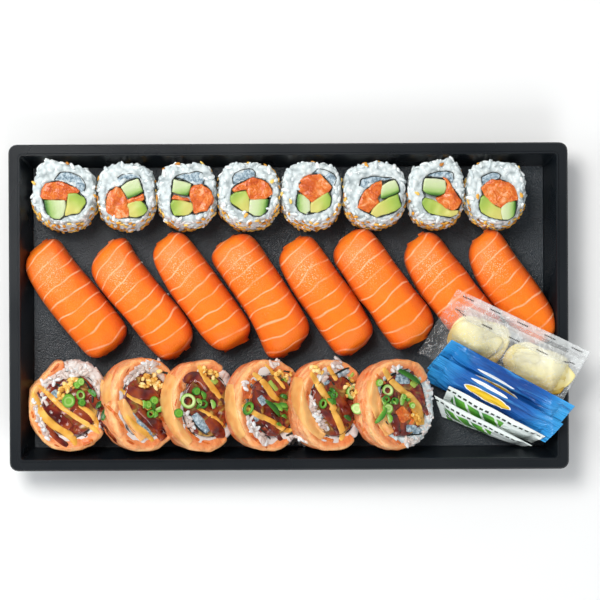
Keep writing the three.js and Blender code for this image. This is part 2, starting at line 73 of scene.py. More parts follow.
# %% The camera
RIM_HEIGHT = 20
CAMERA_DISTANCE = 1600
VIEW_WIDTH = 300.3
VIEW_MIDDLE = (5.7, 3.35)
CAMERA_ROLL = -0.27
SENSOR_WIDTH = 36

bpy.ops.object.select_all(action="DESELECT")
bpy.ops.object.camera_add(
    location=(VIEW_MIDDLE[0] * MM, VIEW_MIDDLE[1] * MM, (RIM_HEIGHT + CAMERA_DISTANCE) * MM),
    rotation=(0, 0, math.radians(CAMERA_ROLL)),
)
camera = bpy.context.object
camera.name = "overhead_camera"
camera.data.sensor_width = SENSOR_WIDTH
camera.data.lens = SENSOR_WIDTH * CAMERA_DISTANCE / VIEW_WIDTH
camera.data.clip_start = 0.1
camera.data.clip_end = 20
bpy.context.scene.camera = camera
print("lens mm:", round(camera.data.lens, 1))

# %% [markdown]
# ## Light and floor
# Food is lit softly, with one large light that is a little stronger. It hangs up and to the
# left, so that it glints on the heads of the nigiri and on wet sauce. Two weaker ones on the
# left and near side and the sky fill in the shadows. The sky is darker straight overhead,
# because a glossy black tray mirrors what hangs there. The plain view transform keeps the
# orange of the fish bright, which the filmic one would fade.


# %% The lights, the sky and the floor
def add_softbox(name, place, size, power, colour):
    """A square light that looks at the middle of the tray."""
    bpy.ops.object.light_add(type="AREA", location=place)
    light = bpy.context.object
    light.name = name
    light.data.shape = "SQUARE"
    light.data.size = size
    light.data.energy = power
    light.data.color = colour
    light.rotation_euler = (-Vector(place)).to_track_quat("-Z", "Y").to_euler()
    return light


add_softbox("key_softbox", (-0.5, 0.6, 1.25), 0.7, 18, (1, 0.985, 0.96))
add_softbox("left_softbox", (-1.3, 0.1, 0.75), 0.8, 6, (0.9, 0.96, 1))
add_softbox("near_softbox", (0.35, -1.2, 1.0), 0.8, 9, (0.97, 0.985, 1))

world = bpy.data.worlds.new("pale_studio")
world.use_nodes = True
sky_nodes, sky_links = world.node_tree.nodes, world.node_tree.links
sky_place = sky_nodes.new("ShaderNodeTexCoord")
sky_parts = sky_nodes.new("ShaderNodeSeparateXYZ")
sky_shade = sky_nodes.new("ShaderNodeValToRGB")
sky_links.new(sky_place.outputs["Generated"], sky_parts.inputs["Vector"])
sky_links.new(sky_parts.outputs["Z"], sky_shade.inputs["Fac"])
sky_links.new(sky_shade.outputs["Color"], sky_nodes["Background"].inputs["Color"])
for point, (height, grey) in zip(sky_shade.color_ramp.elements, ((0.3, 0.85), (0.9, 0.28))):
    point.position = height
    point.color = (0.95 * grey, 0.98 * grey, grey, 1)
sky_nodes["Background"].inputs["Strength"].default_value = 0.8
bpy.context.scene.world = world
bpy.context.scene.view_settings.view_transform = "Standard"

bpy.ops.mesh.primitive_plane_add(size=8, location=(0, 0, -0.2 * MM))
floor = bpy.context.object
floor.name = "studio_floor"

# %% [markdown]
# ## Tools for the lesson
# Colours are written as sRGB hex values, the way a paint chart gives them, and one function
# turns them to the linear values that the shaders need. One small function adds a shader node
# with its settings and links. The rest are the steps that every piece goes through: select it
# alone, move its points by a rule, apply its modifiers, and set it down.


# %% Colours and shader nodes
def colour(code):
    """A hex colour as linear red, green, blue and alpha."""
    values = [int(code[i : i + 2], 16) / 255 for i in (1, 3, 5)]
    linear = [v / 12.92 if v <= 0.04045 else ((v + 0.055) / 1.055) ** 2.4 for v in values]
    return (*linear, 1.0)


def add_node(material, kind, inputs=(), stops=(), output=0, to=None, **settings):
    """Adds one shader node with its settings and links, and gives back one of its outputs.

    Inputs are a row in the node's own order, or go by name. Each is a value, a hex colour or
    another node's output. Stops fill a ramp. The output may also go to the main shader.
    """
    tree = material.node_tree
    node = tree.nodes.new("ShaderNode" + kind)
    for name, value in settings.items():
        setattr(node, name, value)
    for name, value in inputs.items() if isinstance(inputs, dict) else enumerate(inputs):
        if isinstance(value, bpy.types.NodeSocket):
            tree.links.new(value, node.inputs[name])
        else:
            node.inputs[name].default_value = colour(value) if isinstance(value, str) else value
    for i, (position, shade) in enumerate(stops):
        points = node.color_ramp.elements
        point = points[i] if i < len(points) else points.new(position)
        point.position = position
        point.color = colour(shade) if isinstance(shade, str) else (shade, shade, shade, 1)
    if to:
        tree.links.new(node.outputs[output], tree.nodes["Principled BSDF"].inputs[to])
    return node.outputs[output]


def new_material(name, roughness, ior, through=None, coat=None, base=None):
    """A material with one Principled shader.

    Through says how much light goes in, how far each of red, green and blue gets, and the
    reach in millimetres. A coat is a weight and a roughness.
    """
    values = {"Roughness": roughness, "IOR": ior}
    if through:
        values["Subsurface Weight"], values["Subsurface Radius"] = through[:2]
        values["Subsurface Scale"] = through[2] * MM
    if coat:
        values["Coat Weight"], values["Coat Roughness"] = coat
    if base:
        values["Base Color"] = colour(base)
    material = bpy.data.materials.new(name)
    material.use_nodes = True
    for key, value in values.items():
        material.node_tree.nodes["Principled BSDF"].inputs[key].default_value = value
    return material


def food_finish(name, roughness, ior, by, shades, bumps=None, **light):
    """A finish whose colour follows an attribute of the points, or a noise.

    A noise is a size in millimetres, a detail, a roughness and a distortion. Bumps are a
    strength and a depth, then a noise of their own where they don't follow the colour.
    """
    material = new_material(name, roughness, ior, **light)
    position = add_node(material, "TexCoord", output="Object")

    def noise(size, detail, rough=0.5, distortion=0.0):
        inputs = {"Vector": position, "Scale": 1 / (size * MM), "Detail": detail}
        return add_node(material, "TexNoise", {**inputs, "Roughness": rough, "Distortion": distortion})

    if isinstance(by, str):
        source = add_node(material, "Attribute", output="Fac", attribute_name=by)
    else:
        source = noise(*by)
    add_node(material, "ValToRGB", (source,), shades, to="Base Color")
    if bumps:
        strength, depth, *other = bumps
        height = noise(*other) if other else source
        add_node(
            material, "Bump", {"Height": height, "Strength": strength, "Distance": depth * MM}, to="Normal"
        )
    return material


# %% Steps that every piece goes through
def select_only(*pieces):
    bpy.ops.object.select_all(action="DESELECT")
    for piece in pieces:
        piece.select_set(True)
    bpy.context.view_layer.objects.active = pieces[0]


def new_piece(shape, **settings):
    """Adds one mesh by the operator of its shape, with nothing else selected."""
    bpy.ops.object.select_all(action="DESELECT")
    getattr(bpy.ops.mesh, f"primitive_{shape}_add")(**settings)
    return bpy.context.object


@contextmanager
def edit_mode(piece):
    """Edit mode on one piece, with all of it selected."""
    select_only(piece)
    bpy.ops.object.mode_set(mode="EDIT")
    bpy.ops.mesh.select_all(action="SELECT")
    yield
    bpy.ops.object.mode_set(mode="OBJECT")


def extrude(height):
    """Draws what is selected straight up by some millimetres."""
    bpy.ops.mesh.extrude_region_move(TRANSFORM_OT_translate={"value": (0, 0, height * MM)})


def face_outward():
    bpy.ops.mesh.select_all(action="SELECT")
    bpy.ops.mesh.normals_make_consistent(inside=False)


def points_of(piece):
    """The piece's points in millimetres, one row each."""
    points = np.empty(len(piece.data.vertices) * 3)
    piece.data.vertices.foreach_get("co", points)
    return points.reshape(-1, 3) / MM


def move_points(piece, rule):
    """Moves the points by a rule that takes and gives rows of millimetres."""
    piece.data.vertices.foreach_set("co", (rule(points_of(piece)) * MM).ravel())
    piece.data.update()


FLOOR_TOP = 1.3
WALL_FOOT, WALL_MOUTH = (129.3, 71.05), (134.1, 75.85)


def press_into_tray(points):
    """Keeps points above the tray's floor and within its slanted walls, and gives them back."""
    points[:, 2] = np.maximum(points[:, 2], FLOOR_TOP + 0.1)
    rise = np.clip((points[:, 2] - 1.6) / 18.4, 0, 1)
    over = np.maximum(points[:, 2] - 20, 0)
    for axis in (0, 1):
        reach = WALL_FOOT[axis] + (WALL_MOUTH[axis] - WALL_FOOT[axis]) * rise - 0.3 + over
        points[:, axis] = np.clip(points[:, axis], -reach, reach)
    return points


def modify(piece, kind, **settings):
    """Adds one modifier with its settings, and applies it."""
    select_only(piece)
    modifier = piece.modifiers.new(kind.lower(), kind)
    for name, value in settings.items():
        setattr(modifier, name, value)
    bpy.ops.object.modifier_apply(modifier=modifier.name)


def soften(piece, voxel, times):
    """Gives a piece an even mesh of a size in millimetres, and smooths it."""
    modify(piece, "REMESH", mode="VOXEL", voxel_size=voxel * MM)
    modify(piece, "SMOOTH", factor=0.5, iterations=times)


def thicken(piece, thickness, offset=0):
    """Makes a sheet some millimetres thick, on both sides of its surface or inward."""
    modify(piece, "SOLIDIFY", thickness=thickness * MM, offset=offset)


def copy_of(piece, name):
    """A copy with its own mesh, whose loose triangles are merged."""
    copied = bpy.data.objects.new(name, piece.data.copy())
    bpy.context.collection.objects.link(copied)
    select_only(copied)
    bpy.ops.mesh.customdata_custom_splitnormals_clear()
    with edit_mode(copied):
        bpy.ops.mesh.remove_doubles(threshold=0.001 * MM)
    return copied


def ripple(points, size, seed):
    """A smooth random value from -1 to 1 at each point, for unevenness of a size in mm."""
    rng = np.random.default_rng(seed)
    total = np.zeros(len(points))
    for _ in range(6):
        direction = rng.normal(size=3)
        direction /= np.linalg.norm(direction)
        wave = 2 * np.pi / (size * rng.uniform(0.7, 1.5))
        total += np.sin(points @ direction * wave + rng.uniform(0, 2 * np.pi))
    return total / 3


def roughen(piece, amount, size, seed):
    """Moves each point a little, for unevenness of a size in mm."""
    move_points(piece, lambda p: p + amount * np.column_stack([ripple(p, size, seed + i) for i in range(3)]))


def set_values(piece, name, values):
    """Gives the points values that a material reads."""
    attribute = piece.data.attributes.new(name, "FLOAT", "POINT")
    attribute.data.foreach_set("value", np.resize(values, len(piece.data.vertices)).astype(np.float32))


def set_map(piece, name, u, v):
    """Gives the points places on a map that a material reads."""
    corner = np.empty(len(piece.data.loops), np.int32)
    piece.data.loops.foreach_get("vertex_index", corner)
    layer = piece.data.uv_layers.new(name=name)
    layer.data.foreach_set("uv", np.column_stack([u, v])[corner].ravel().astype(np.float32))


def finish_piece(piece, name, material, nodes=()):
    """Names a piece, gives it its finish and sets it on the root body."""
    piece.name = piece.data.name = name
    select_only(piece)
    bpy.ops.object.transform_apply(location=True, rotation=True, scale=True)
    bpy.ops.object.shade_smooth()
    piece.data.materials.clear()
    piece.data.materials.append(material)
    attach(piece, "root")
    if nodes:
        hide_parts(*nodes)
    return piece


def join(pieces):
    """Makes one object of several."""
    select_only(*pieces)
    if len(pieces) > 1:
        bpy.ops.object.join()
    return bpy.context.object


def numbered(name, count):
    return [f"{name}_{i}" for i in range(1, count + 1)]


# %% [markdown]
# ## Scattered things
# Rice grains, seeds and crumbs are one small mesh each, laid hundreds of times on a surface. A
# particle system would do it by hand, but its copies don't live outside Blender. So the places
# are drawn at random on the surface, by area, and kept apart like real grains that touch. Then
# all copies become one mesh, and each gets a random tint that its material reads.


# %% Places on a surface, and copies laid on them
def places_on(piece, tries, spacing, seed, keep=None):
    """Random places and surface directions on a piece, at least the spacing (mm) apart."""
    mesh = piece.data
    mesh.calc_loop_triangles()
    corners = np.empty(len(mesh.loop_triangles) * 3, np.int32)
    mesh.loop_triangles.foreach_get("vertices", corners)
    corners = corners.reshape(-1, 3)
    normals = np.empty(len(mesh.vertices) * 3)
    mesh.vertices.foreach_get("normal", normals)
    normals = normals.reshape(-1, 3)[corners].mean(axis=1)
    a, b, c = (points_of(piece)[corners[:, i]] for i in range(3))
    area = np.linalg.norm(np.cross(b - a, c - a), axis=1)
    rng = np.random.default_rng(seed)
    chosen = rng.choice(len(area), tries, p=area / area.sum())
    u, v = rng.random((2, tries))
    u, v = np.where(u + v > 1, 1 - u, u)[:, None], np.where(u + v > 1, 1 - v, v)[:, None]
    places = a[chosen] + (b - a)[chosen] * u + (c - a)[chosen] * v
    directions = normals[chosen]
    if keep is not None:
        wanted = keep(places, directions)
        places, directions = places[wanted], directions[wanted]
    taken, cells = [], {}
    for i, place in enumerate(places):
        cell = tuple(np.floor(place / spacing).astype(int))
        near = [
            j
            for dx in (-1, 0, 1)
            for dy in (-1, 0, 1)
            for dz in (-1, 0, 1)
            for j in cells.get((cell[0] + dx, cell[1] + dy, cell[2] + dz), ())
        ]
        if all(((places[j] - place) ** 2).sum() > spacing**2 for j in near):
            cells.setdefault(cell, []).append(i)
            taken.append(i)
    return places[taken], directions[taken]


def lay_copies(name, pattern, found, seed, finish, nodes, lift=0.0, lean=0.25, vary=0.12):
    """Lays one copy of the pattern flat on each place found, and makes them all one piece."""
    rng = np.random.default_rng(seed)
    places, directions = found
    count = len(places)
    up = directions + rng.normal(scale=lean, size=(count, 3))
    up /= np.linalg.norm(up, axis=1)[:, None]
    along = np.cross(up, rng.normal(size=(count, 3)))
    along /= np.linalg.norm(along, axis=1)[:, None]
    axes = along, np.cross(up, along), up
    shape = points_of(pattern)
    sized = shape[None] * (1 + rng.uniform(-vary, vary, size=(count, 1, 3)))
    turned = sum(sized[..., i : i + 1] * axis[:, None] for i, axis in enumerate(axes))
    points = turned + (places + directions * lift)[:, None]
    faces = [tuple(face.vertices) for face in pattern.data.polygons]
    size = len(shape)
    mesh = bpy.data.meshes.new(name)
    mesh.from_pydata(points.reshape(-1, 3) * MM, [],
        [tuple(v + i * size for v in face) for i in range(count) for face in faces])
    scattered = bpy.data.objects.new(name, mesh)
    bpy.context.collection.objects.link(scattered)
    set_values(scattered, "tint", np.repeat(rng.random(count), size))
    move_points(scattered, press_into_tray)
    print(name + ":", count)
    return finish_piece(scattered, name, finish, nodes)


def all_found(found):
    """The places and directions found on several pieces, as one pair."""
    return tuple(np.vstack(part) for part in zip(*found))


# %% [markdown]
# ## The tray
# The tray is one sheet of black polystyrene, drawn by heat over a mould. Its shape is already
# right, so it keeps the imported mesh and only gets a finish. The floor of such a tray is
# pebbled, to hide scratches, and the walls and rim are smooth.

# %% Black formed polystyrene
PEBBLE = 0.75

# Thermoformed polystyrene, with a soft gloss. The pebbles on its floor are drawn about a
# millimetre wide, twice their real size, so that they show from this far. Their tops are painted
# lighter and their hollows darker, as painted highlight and painted shade, which also makes the
# floor lighter than the smooth rim and walls.
tray_plastic = new_material("thermoformed_polystyrene", 0.3, 1.47, base="#14171b")
add = partial(add_node, tray_plastic)
position = add("TexCoord", output="Object")
height = add("SeparateXYZ", (position,), output="Z")
on_floor = add("MapRange", (height, 1.25 * MM, 1.1 * MM, 0.0, 1.0))
pebbles = add("TexNoise", {"Vector": position, "Scale": 1 / (PEBBLE * MM), "Detail": 2.0, "Roughness": 0.6})
pebble_height = add("Math", (pebbles, on_floor), operation="MULTIPLY")
add("Bump", {"Height": pebble_height, "Strength": 0.9, "Distance": 0.5 * MM}, to="Normal")
dust = add("TexNoise", {"Vector": position, "Scale": 1 / (60 * MM), "Detail": 3.0})
add("MapRange", (dust, 0.3, 0.7, 0.22, 0.34), to="Roughness")
# painted highlight on the pebbles' tops and painted shade in their hollows
add("MixRGB", (pebble_height, "#10151a", "#353f47"), to="Base Color")
frame["nodes"]["tray"].material_slots[0].material = tray_plastic

# %% [markdown]
# ## Finishes of the food
# Food is neither plastic nor paint: light goes a little way in and comes out again, which is
# what subsurface scattering does. Cooked rice is milky, raw fish is clear orange with pale
# lines of fat, and cucumber is watery green with a dark skin.

# %% Cooked rice
# Vinegared short-grain rice, boiled. It is white, a little see-through and moist.
rice_finish = food_finish(
    "vinegared_rice", 0.42, 1.4, "tint", [(0.0, "#c2ccce"), (0.5, "#dbe3e3"), (1.0, "#ecefee")],
    bumps=(0.4, 0.3, 1.4, 2), through=(0.2, (1.0, 0.95, 0.85), 1.2),
)
# The same rice where the sauces of the topped rolls have run over it: dull and pinkish.
sauced_rice = food_finish(
    "sauced_rice", 0.4, 1.4, "tint", [(0.0, "#bfa79d"), (0.45, "#d6c7bf"), (1.0, "#dfe4e6")],
    through=(0.2, (1.0, 0.85, 0.75), 1.2),
)
# The mass of rice under the loose grains: the same rice, seen as a field of packed grains. The gaps between
# the grains are painted darker: painted shade.
packed_rice = new_material("packed_rice", 0.5, 1.4, through=(0.2, (1.0, 0.95, 0.85), 1.5))
add = partial(add_node, packed_rice)
position = add("TexCoord", output="Object")
swirl = add("TexNoise", {"Vector": position, "Scale": 1 / (3 * MM), "Detail": 1.0}, output="Color")
bent = add("MixRGB", (0.0025, position, swirl), blend_type="ADD")
cells = add("TexVoronoi", {"Vector": bent, "Scale": 1 / (2.7 * MM), "Smoothness": 0.5}, feature="SMOOTH_F1")
# lighter in the middle of each cell and darker at its edges, where grains meet: painted shade in the gaps
packed_shades = [(0.15, "#dfe5e4"), (0.5, "#c9d2d3"), (0.85, "#98a2a4")]
add("ValToRGB", (cells,), packed_shades, to="Base Color")
add("Bump", {"Height": cells, "Strength": 0.8, "Distance": -1.2 * MM}, to="Normal")
# The rice inside the inner lap of seaweed: blue-grey, partly stained by it and partly painted shade, and
# pressed smooth.
lap_rice = food_finish("seaweed_stained_rice", 0.45, 1.4, (1.6, 3, 0.7),
    [(0.34, "#4e6371"), (0.48, "#8499a6"), (0.62, "#bccad1")], bumps=(0.6, 0.5))

# %% Sesame, seaweed, fish and vegetables
# Toasted sesame: a dry seed, from straw to brown.
sesame_finish = food_finish(
    "toasted_sesame", 0.45, 1.5, "tint", [(0.0, "#b5701c"), (0.4, "#e09c2c"), (1.0, "#f7d06a")]
)
# Roasted seaweed, pressed like paper: almost black, with a green sheen.
nori_finish = food_finish(
    "roasted_seaweed", 0.42, 1.45, (1.6, 3), [(0.35, "#0c110f"), (0.7, "#232e27")], bumps=(0.5, 0.3)
)
# Raw salmon in chunks: wet, from brick red to orange, with pale flecks of fat.
chunk_finish = food_finish(
    "raw_salmon_chunk", 0.24, 1.4, (6, 5, 0.75, 0.8),
    [(0.3, "#ac4216"), (0.45, "#cc5c1c"), (0.56, "#de782c"), (0.68, "#f2b284")],
    bumps=(0.9, 0.9, 1.6, 3), through=(0.15, (1.0, 0.35, 0.15), 2), coat=(0.35, 0.12),
)
# Fresh cucumber, cut in batons: watery pale flesh, and a dark skin on one side. An attribute of
# each baton's points says how near they are to the skin.
cucumber_finish = food_finish(
    "fresh_cucumber", 0.28, 1.36, "rind",
    [(0.0, "#ccd4ae"), (0.45, "#bccb98"), (0.72, "#9ab86a"), (0.88, "#4a7a2b"), (0.97, "#1d3a1c")],
    bumps=(0.6, 0.4, 1.2, 3), through=(0.2, (0.7, 1.0, 0.4), 2),
)
# Ripe avocado: buttery, yellow inside and green towards the peel.
avocado_finish = food_finish("ripe_avocado", 0.4, 1.4, "rind",
    [(0.0, "#cbbf6e"), (0.4, "#c0bf64"), (0.7, "#a4b751"), (1.0, "#83a342")], bumps=(0.3, 0.5, 3, 2),
    through=(0.15, (0.9, 1.0, 0.3), 1.5))

# %% [markdown]
# ## The inside-out rolls
# An inside-out roll has its rice outside and its seaweed inside, wrapped round batons of
# salmon, cucumber and avocado. It is cut across, so every slice shows its filling. The rice is
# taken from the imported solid, smoothed, with a dip where the filling stands. It could be
# modelled from a cylinder too, but the solid already has each roll's own lumps.

# %% The mass of rice of each roll
ROLL_TOP = 25.3


def points_in(text):
    """The points of a line, each written as its millimetres."""
    return [tuple(map(float, pair.split())) for pair in text.split(",")]


def rolls_in(text):
    """Rolls from a table of rows, each with a name, a colon and its points."""
    rolls = []
    for row in text.split(";"):
        name, points = row.split(":")
        kind, *facing = name.split()
        if kind == "middle":
            rolls.append({"middle": points_in(points)[0], "batons": []})
        elif kind == "flap":
            rolls[-1]["flap"] = points_in(points)
        else:
            rolls[-1]["batons"].append((kind, float(facing[0]), points_in(points)))
    return rolls


# For each roll: the middle of its filling, then its batons, each with its kind, the way its
# skin faces and its corners, then the flap, a line along the inner lap of seaweed. Corners and
# lines are millimetres from the roll's middle.
ROLLS = rolls_in("""
middle: -111.8 53.5;
salmon 0: -11 2.3, -10.9 5.3, -8.9 7.8, -5.9 9, -1.9 9.3, 1.5 8.3, 5 6.3, 7.5 5, 6 3.8, 2 3.8, 1 0.3,
    -9.5 0.8; cucumber 190: -10 0.3, 0.5 0, 0.7 -3.7, -0.5 -7.7, -2.5 -9.2, -6 -8.7, -8.5 -6.2, -9.7 -2.7;
avocado 60: 2 3.3, 6.5 3.3, 10 1.2, 11 -1.3, 9 -3.7, 7.5 -6.2, 4 -6.5, 0.5 -7.7, 1.5 -2.7;
flap: -4.9 10.3, -1.9 14.3, 3.1 14.2, 8 12.2, 10 9.7, 11 7.2, 10 4.7;
middle: -80.6 54.5;
salmon 0: -9.7 0.7, -10.2 -2.3, -9.3 -5.8, -6.8 -8.8, -3.3 -9.8, 0.7 -9.1, 0.7 -4.9, -0.3 -3.4, 0.2 -1.4,
    -1.3 1.1, -2.7 4.6, -5.7 5.2, -8.7 3.2;
salmon 0: 0.2 -0.9, 4.7 0.9, 8.2 2.1, 9 -0.4, 6.2 -1.4, 0.7 -2.6;
cucumber -70: -2.7 5.6, 0.8 8.1, 5.8 9.8, 7 6.6, 8.2 3.3, 4.2 1.1, 1.2 -0.4, -0.7 2.6;
avocado 20: 0.7 -2.9, 3.7 -1.1, 7.2 -1.4, 9 -3.4, 10.2 -5.9, 8.2 -8.4, 5.2 -9.4, 1.7 -9.1, 0 -4.8;
flap: -4.7 10.1, -2.2 11.9, 0.8 12.4, 3.8 12.6, 6.3 11.8, 7.3 10.1;
middle: -47.9 54.8; cucumber -75: -9 9, -4.5 7.9, -0.5 6.7, -1.3 3.7, -2 0.7, -6 1.7, -10 2.7, -9.5 5.7;
avocado 180: -9.5 -1.3, -6 -1.5, 0 -2.8, 0.4 -5.8, -1.6 -8.3, -6.1 -9, -9.1 -8.8, -10.3 -5.8, -10.5 -3.3;
salmon 0: -10 -0.8, -9 1.2, -6 0.5, -2 -0.1, -1 -1.8, -6 -1.3, -9.5 -1;
salmon 0: -0.5 4.2, 1.5 5.7, 4.5 6.1, 7.5 4.9, 9.5 2.6, 10.4 -0.9, 8.9 -3.8, 7.4 -6.3, 4.4 -6.8, 1.9 -8.3,
    0.4 -6.3, 0.5 -2.8, -1 0.2;
flap: -9 9.7, -7.5 10.9, -4.5 11.9, -1 12.2, 2.5 13.1, 5.5 12.1, 6.5 9.1, 5.5 6.6;
middle: -18.5 54.8; salmon 0: -9.5 3.6, -7.5 5.6, -4 7.5, -2 8.5, -2 3.5, -5.5 3.1, -8.5 2.6;
salmon 0: -2 8.5, 1.5 9.3, 5 8.8, 8 7.2, 10 4.5, 10 1.5, 7.5 -0.7, 0.5 -1, -1.5 0.6, -2 4;
avocado 130: -10 0.6, -7.5 2.1, -2.5 3.1, -1.2 0.1, -1 -2.9, -1.3 -7.4, -4 -6.7, -7.5 -4.7, -10 -2.4;
cucumber -10: -0.5 -1.4, 4.5 -1.2, 9 -1.2, 8.5 -4.5, 7.4 -7.5, 4.9 -9.2, 1.5 -9.2, -1 -7.4;
flap: -8.9 6.6, -9.4 9.6, -7.9 12.1, -4.9 13.5, -1.4 14.3, 1.1 13.8, 2.5 12, 2 10;
middle: 13.1 56.1;
salmon 0: -6.6 6.1, -4.1 8.6, -0.6 9.8, 2.9 9.6, 5.4 7.6, 7.3 5.3, 8.8 3.5, 5.8 1.1, 2.8 -1.4, -0.7 1.6,
    -4.1 4.6; salmon 0: -8.1 1.6, -6.6 5.6, -3.6 4.1, -0.7 1.6, 2.8 -1.4, -1.7 -3.9, -3.2 -2.4, -5.7 0.1;
cucumber 180: -8.1 0.1, -5.2 -0.6, -2.2 -3.4, -2.2 -7.9, -4.2 -9.9, -7.2 -8.6, -8.9 -6.3, -8.7 -2.9;
avocado 10: -1.7 -4.4, 2.8 -1.4, 6.8 0.8, 8.3 -1.9, 7.8 -5.9, 5.8 -7.4, 1.8 -8.9, -1.7 -9.1;
flap: -0.6 10.6, 1.9 12.8, 5.9 12, 9.9 10, 11.3 7.5, 9.8 4;
middle: 45.8 53.8;
salmon 0: -8.9 1.3, -7.4 3.8, -4.9 5.8, -1.9 7.7, 0.6 8.7, 0.6 5.2, 0.1 2.2, -1.5 -0.2, 0 -1.8, -3 -4.2,
    -5.5 -6.7, -8.5 -5.7, -10.5 -4.2, -9.9 -1.2;
cucumber -70: 1.1 6.2, 4.1 8.2, 7.6 9.2, 9.1 6.2, 9.5 3.2, 6.5 1.7, 3 0.2, 0.5 0.2, 0.6 3.2;
avocado 20: 0.5 -1.8, 4 0.2, 8.5 1.9, 9.5 -0.8, 10.5 -3.8, 7.5 -6.3, 3 -7.8, -1.5 -9.2, -4.5 -7.7, -3 -4.7;
flap: -10.4 6.3, -9.4 9.8, -6.4 10.5, -3.9 11.2, -1.4 11, 1.6 10.5, 6.1 10.4;
middle: 76.9 54.2;
cucumber -95: -8.6 9.5, -3.6 9.4, 1.4 8.4, 1.9 4.7, 0.9 2.2, -2.6 0.7, -7.1 1.7, -9.6 3.7, -9.1 6.7;
avocado 175: -8.1 -0.3, -4.1 -1.3, -0.1 -3.8, 3.8 -6.3, 7.8 -6.3, 7.3 -8.3, 4.3 -9.6, -1.2 -9, -6.1 -7.8,
    -9.1 -5.2, -9.9 -2.3;
salmon 0: 0.4 9.4, 2.9 8.7, 3.4 6.7, 5.9 3.7, 7.9 0.2, 9.8 -2.3, 8.3 -4.6, 5.3 -5.8, 1.8 -5.3, -1.1 -2.8,
    -3.1 -0.3, -0.6 0.7, 1.9 2.7, 2.4 5.7;
flap: -8.6 10.2, -6.1 11.9, -2.1 12.9, 1.9 13.2, 5.4 12.4, 5.9 9.1;
middle: 104.7 52.9;
salmon 0: -7.9 6.4, -4.9 8.4, -1.9 9.6, 1.5 9.8, 5 8.6, 7.5 6.3, 9 3.3, 9.2 0.3, 5 -1.2, 1 -3.6, -2 -1.6,
    -4.5 0.4, -6.5 2.9;
avocado 140: -8.5 0.9, -7 1.9, -4 -0.1, -1 -3.1, 1.5 -4.1, 1.5 -9.6, -2 -9.1, -5.5 -7.8, -8.5 -6.1,
    -9.2 -3.1; cucumber 0: 2 -2.6, 5 -1.4, 9 -0.7, 9 -4.2, 7.9 -8.2, 5.4 -9.9, 2.5 -9.9, 1.5 -6.6;
flap: -7.9 7.4, -8.4 11.4, -5.4 12.9, -2.9 13.8, -0.4 13.6, 1.6 12.3, 0.6 10.3
""")
FINISHES = {"salmon": chunk_finish, "cucumber": cucumber_finish, "avocado": avocado_finish}
SEAWEED = 0.35
DIP = 3.0


def along_line(corners, count, closed=False):
    """Evenly spread points along a line through the corners."""
    line = np.array([*corners, corners[0]] if closed else corners, float)
    reach = np.append(0, np.cumsum(np.linalg.norm(np.diff(line, axis=0), axis=1)))
    at = np.linspace(0, reach[-1], count)
    return np.column_stack([np.interp(at, reach, line[:, i]) for i in (0, 1)])


def filling_edge(roll, angles):
    """How far the seaweed round the batons is from the middle of the filling (mm)."""
    rims = np.vstack([along_line(corners, 60, closed=True) for _, _, corners in roll["batons"]])
    at, far = np.arctan2(rims[:, 1], rims[:, 0]), np.hypot(rims[:, 0], rims[:, 1])
    away = np.abs(np.angle(np.exp(1j * (at[None] - angles[:, None]))))
    reach = np.where(away < 0.1, far[None], 0).max(axis=1)
    for _ in range(3):
        reach = np.maximum(reach, (np.roll(reach, 1) + np.roll(reach, -1)) / 2)
    return np.maximum(reach + 0.1, 5)


ANGLES = np.linspace(0, 2 * np.pi, 72, endpoint=False)
for roll in ROLLS:
    roll["edge"] = filling_edge(roll, ANGLES)


def edge_at(roll, x, y):
    angle = np.arctan2(y, x) % (2 * np.pi)
    return np.interp(angle, np.append(ANGLES, 2 * np.pi), np.append(roll["edge"], roll["edge"][0]))


def from_middle(roll, points):
    return points[:, 0] - roll["middle"][0], points[:, 1] - roll["middle"][1]


def inside_edge(roll, points, margin):
    """Which points are inside the roll's seaweed, seen from above."""
    x, y = from_middle(roll, points)
    return np.hypot(x, y) < edge_at(roll, x, y) + margin


def in_flap(roll, points, margin):
    """Which points are between the filling and the inner lap of seaweed."""
    x, y = from_middle(roll, points)
    lap = along_line(roll["flap"], 40)
    turn = np.arctan2(lap[:, 1], lap[:, 0])
    order = np.argsort(turn)
    far = np.interp(np.arctan2(y, x), turn[order], np.hypot(*lap.T)[order], left=0, right=0)
    return np.hypot(x, y) < far + margin * (far > 0)


roll_rice = []
for number, roll in enumerate(ROLLS, 1):
    node = f"inside_out_roll_{number}"
    rice = copy_of(frame["nodes"][node], f"roll_rice_{number}")
    soften(rice, 0.8, 3)

    def settle(points):
        dip = inside_edge(roll, points, 0.0) & (points[:, 2] > ROLL_TOP - 4)
        points[:, 2] = np.where(dip, points[:, 2] - DIP, points[:, 2])
        rough = 0.35 * ripple(points, 5, number)[:, None]
        away = points - np.array([*roll["middle"], 12])
        return points + rough * away / np.linalg.norm(away, axis=1)[:, None]

    move_points(rice, settle)
    roll_rice.append(finish_piece(rice, f"roll_rice_{number}", packed_rice, [node]))
print("rolls:", len(roll_rice), "faces of the first:", len(roll_rice[0].data.polygons))

# %% [markdown]
# ## Seaweed and batons
# The seaweed is a sheet, so it starts as a ring of edges that is pulled down into a wall and
# gets its thickness from Solidify. A baton is a prism over its own corners. It is remeshed and
# smoothed, more for soft fish than for crisp cucumber, so that its edges are round and its cut
# end is uneven, the way a knife leaves them.


# %% Seaweed round the fillings
def add_seaweed(roll):
    x, y = roll["middle"]
    sheet = new_piece("circle", vertices=len(ANGLES), radius=10 * MM, fill_type="NGON")

    def outline(points):
        far = edge_at(roll, points[:, 0], points[:, 1])
        angle = np.arctan2(points[:, 1], points[:, 0]) % (2 * np.pi)
        return np.column_stack(
            [x + far * np.cos(angle), y + far * np.sin(angle), np.full(len(points), ROLL_TOP - DIP)]
        )

    move_points(sheet, outline)
    # the filled disc stays as a floor under the batons: a dark sheet that stands in for the shade in the gaps
    # between them, as painted shade
    with edit_mode(sheet):
        bpy.ops.mesh.region_to_loop()
        extrude(DIP + 0.15)
        face_outward()
    thicken(sheet, SEAWEED)
    return sheet


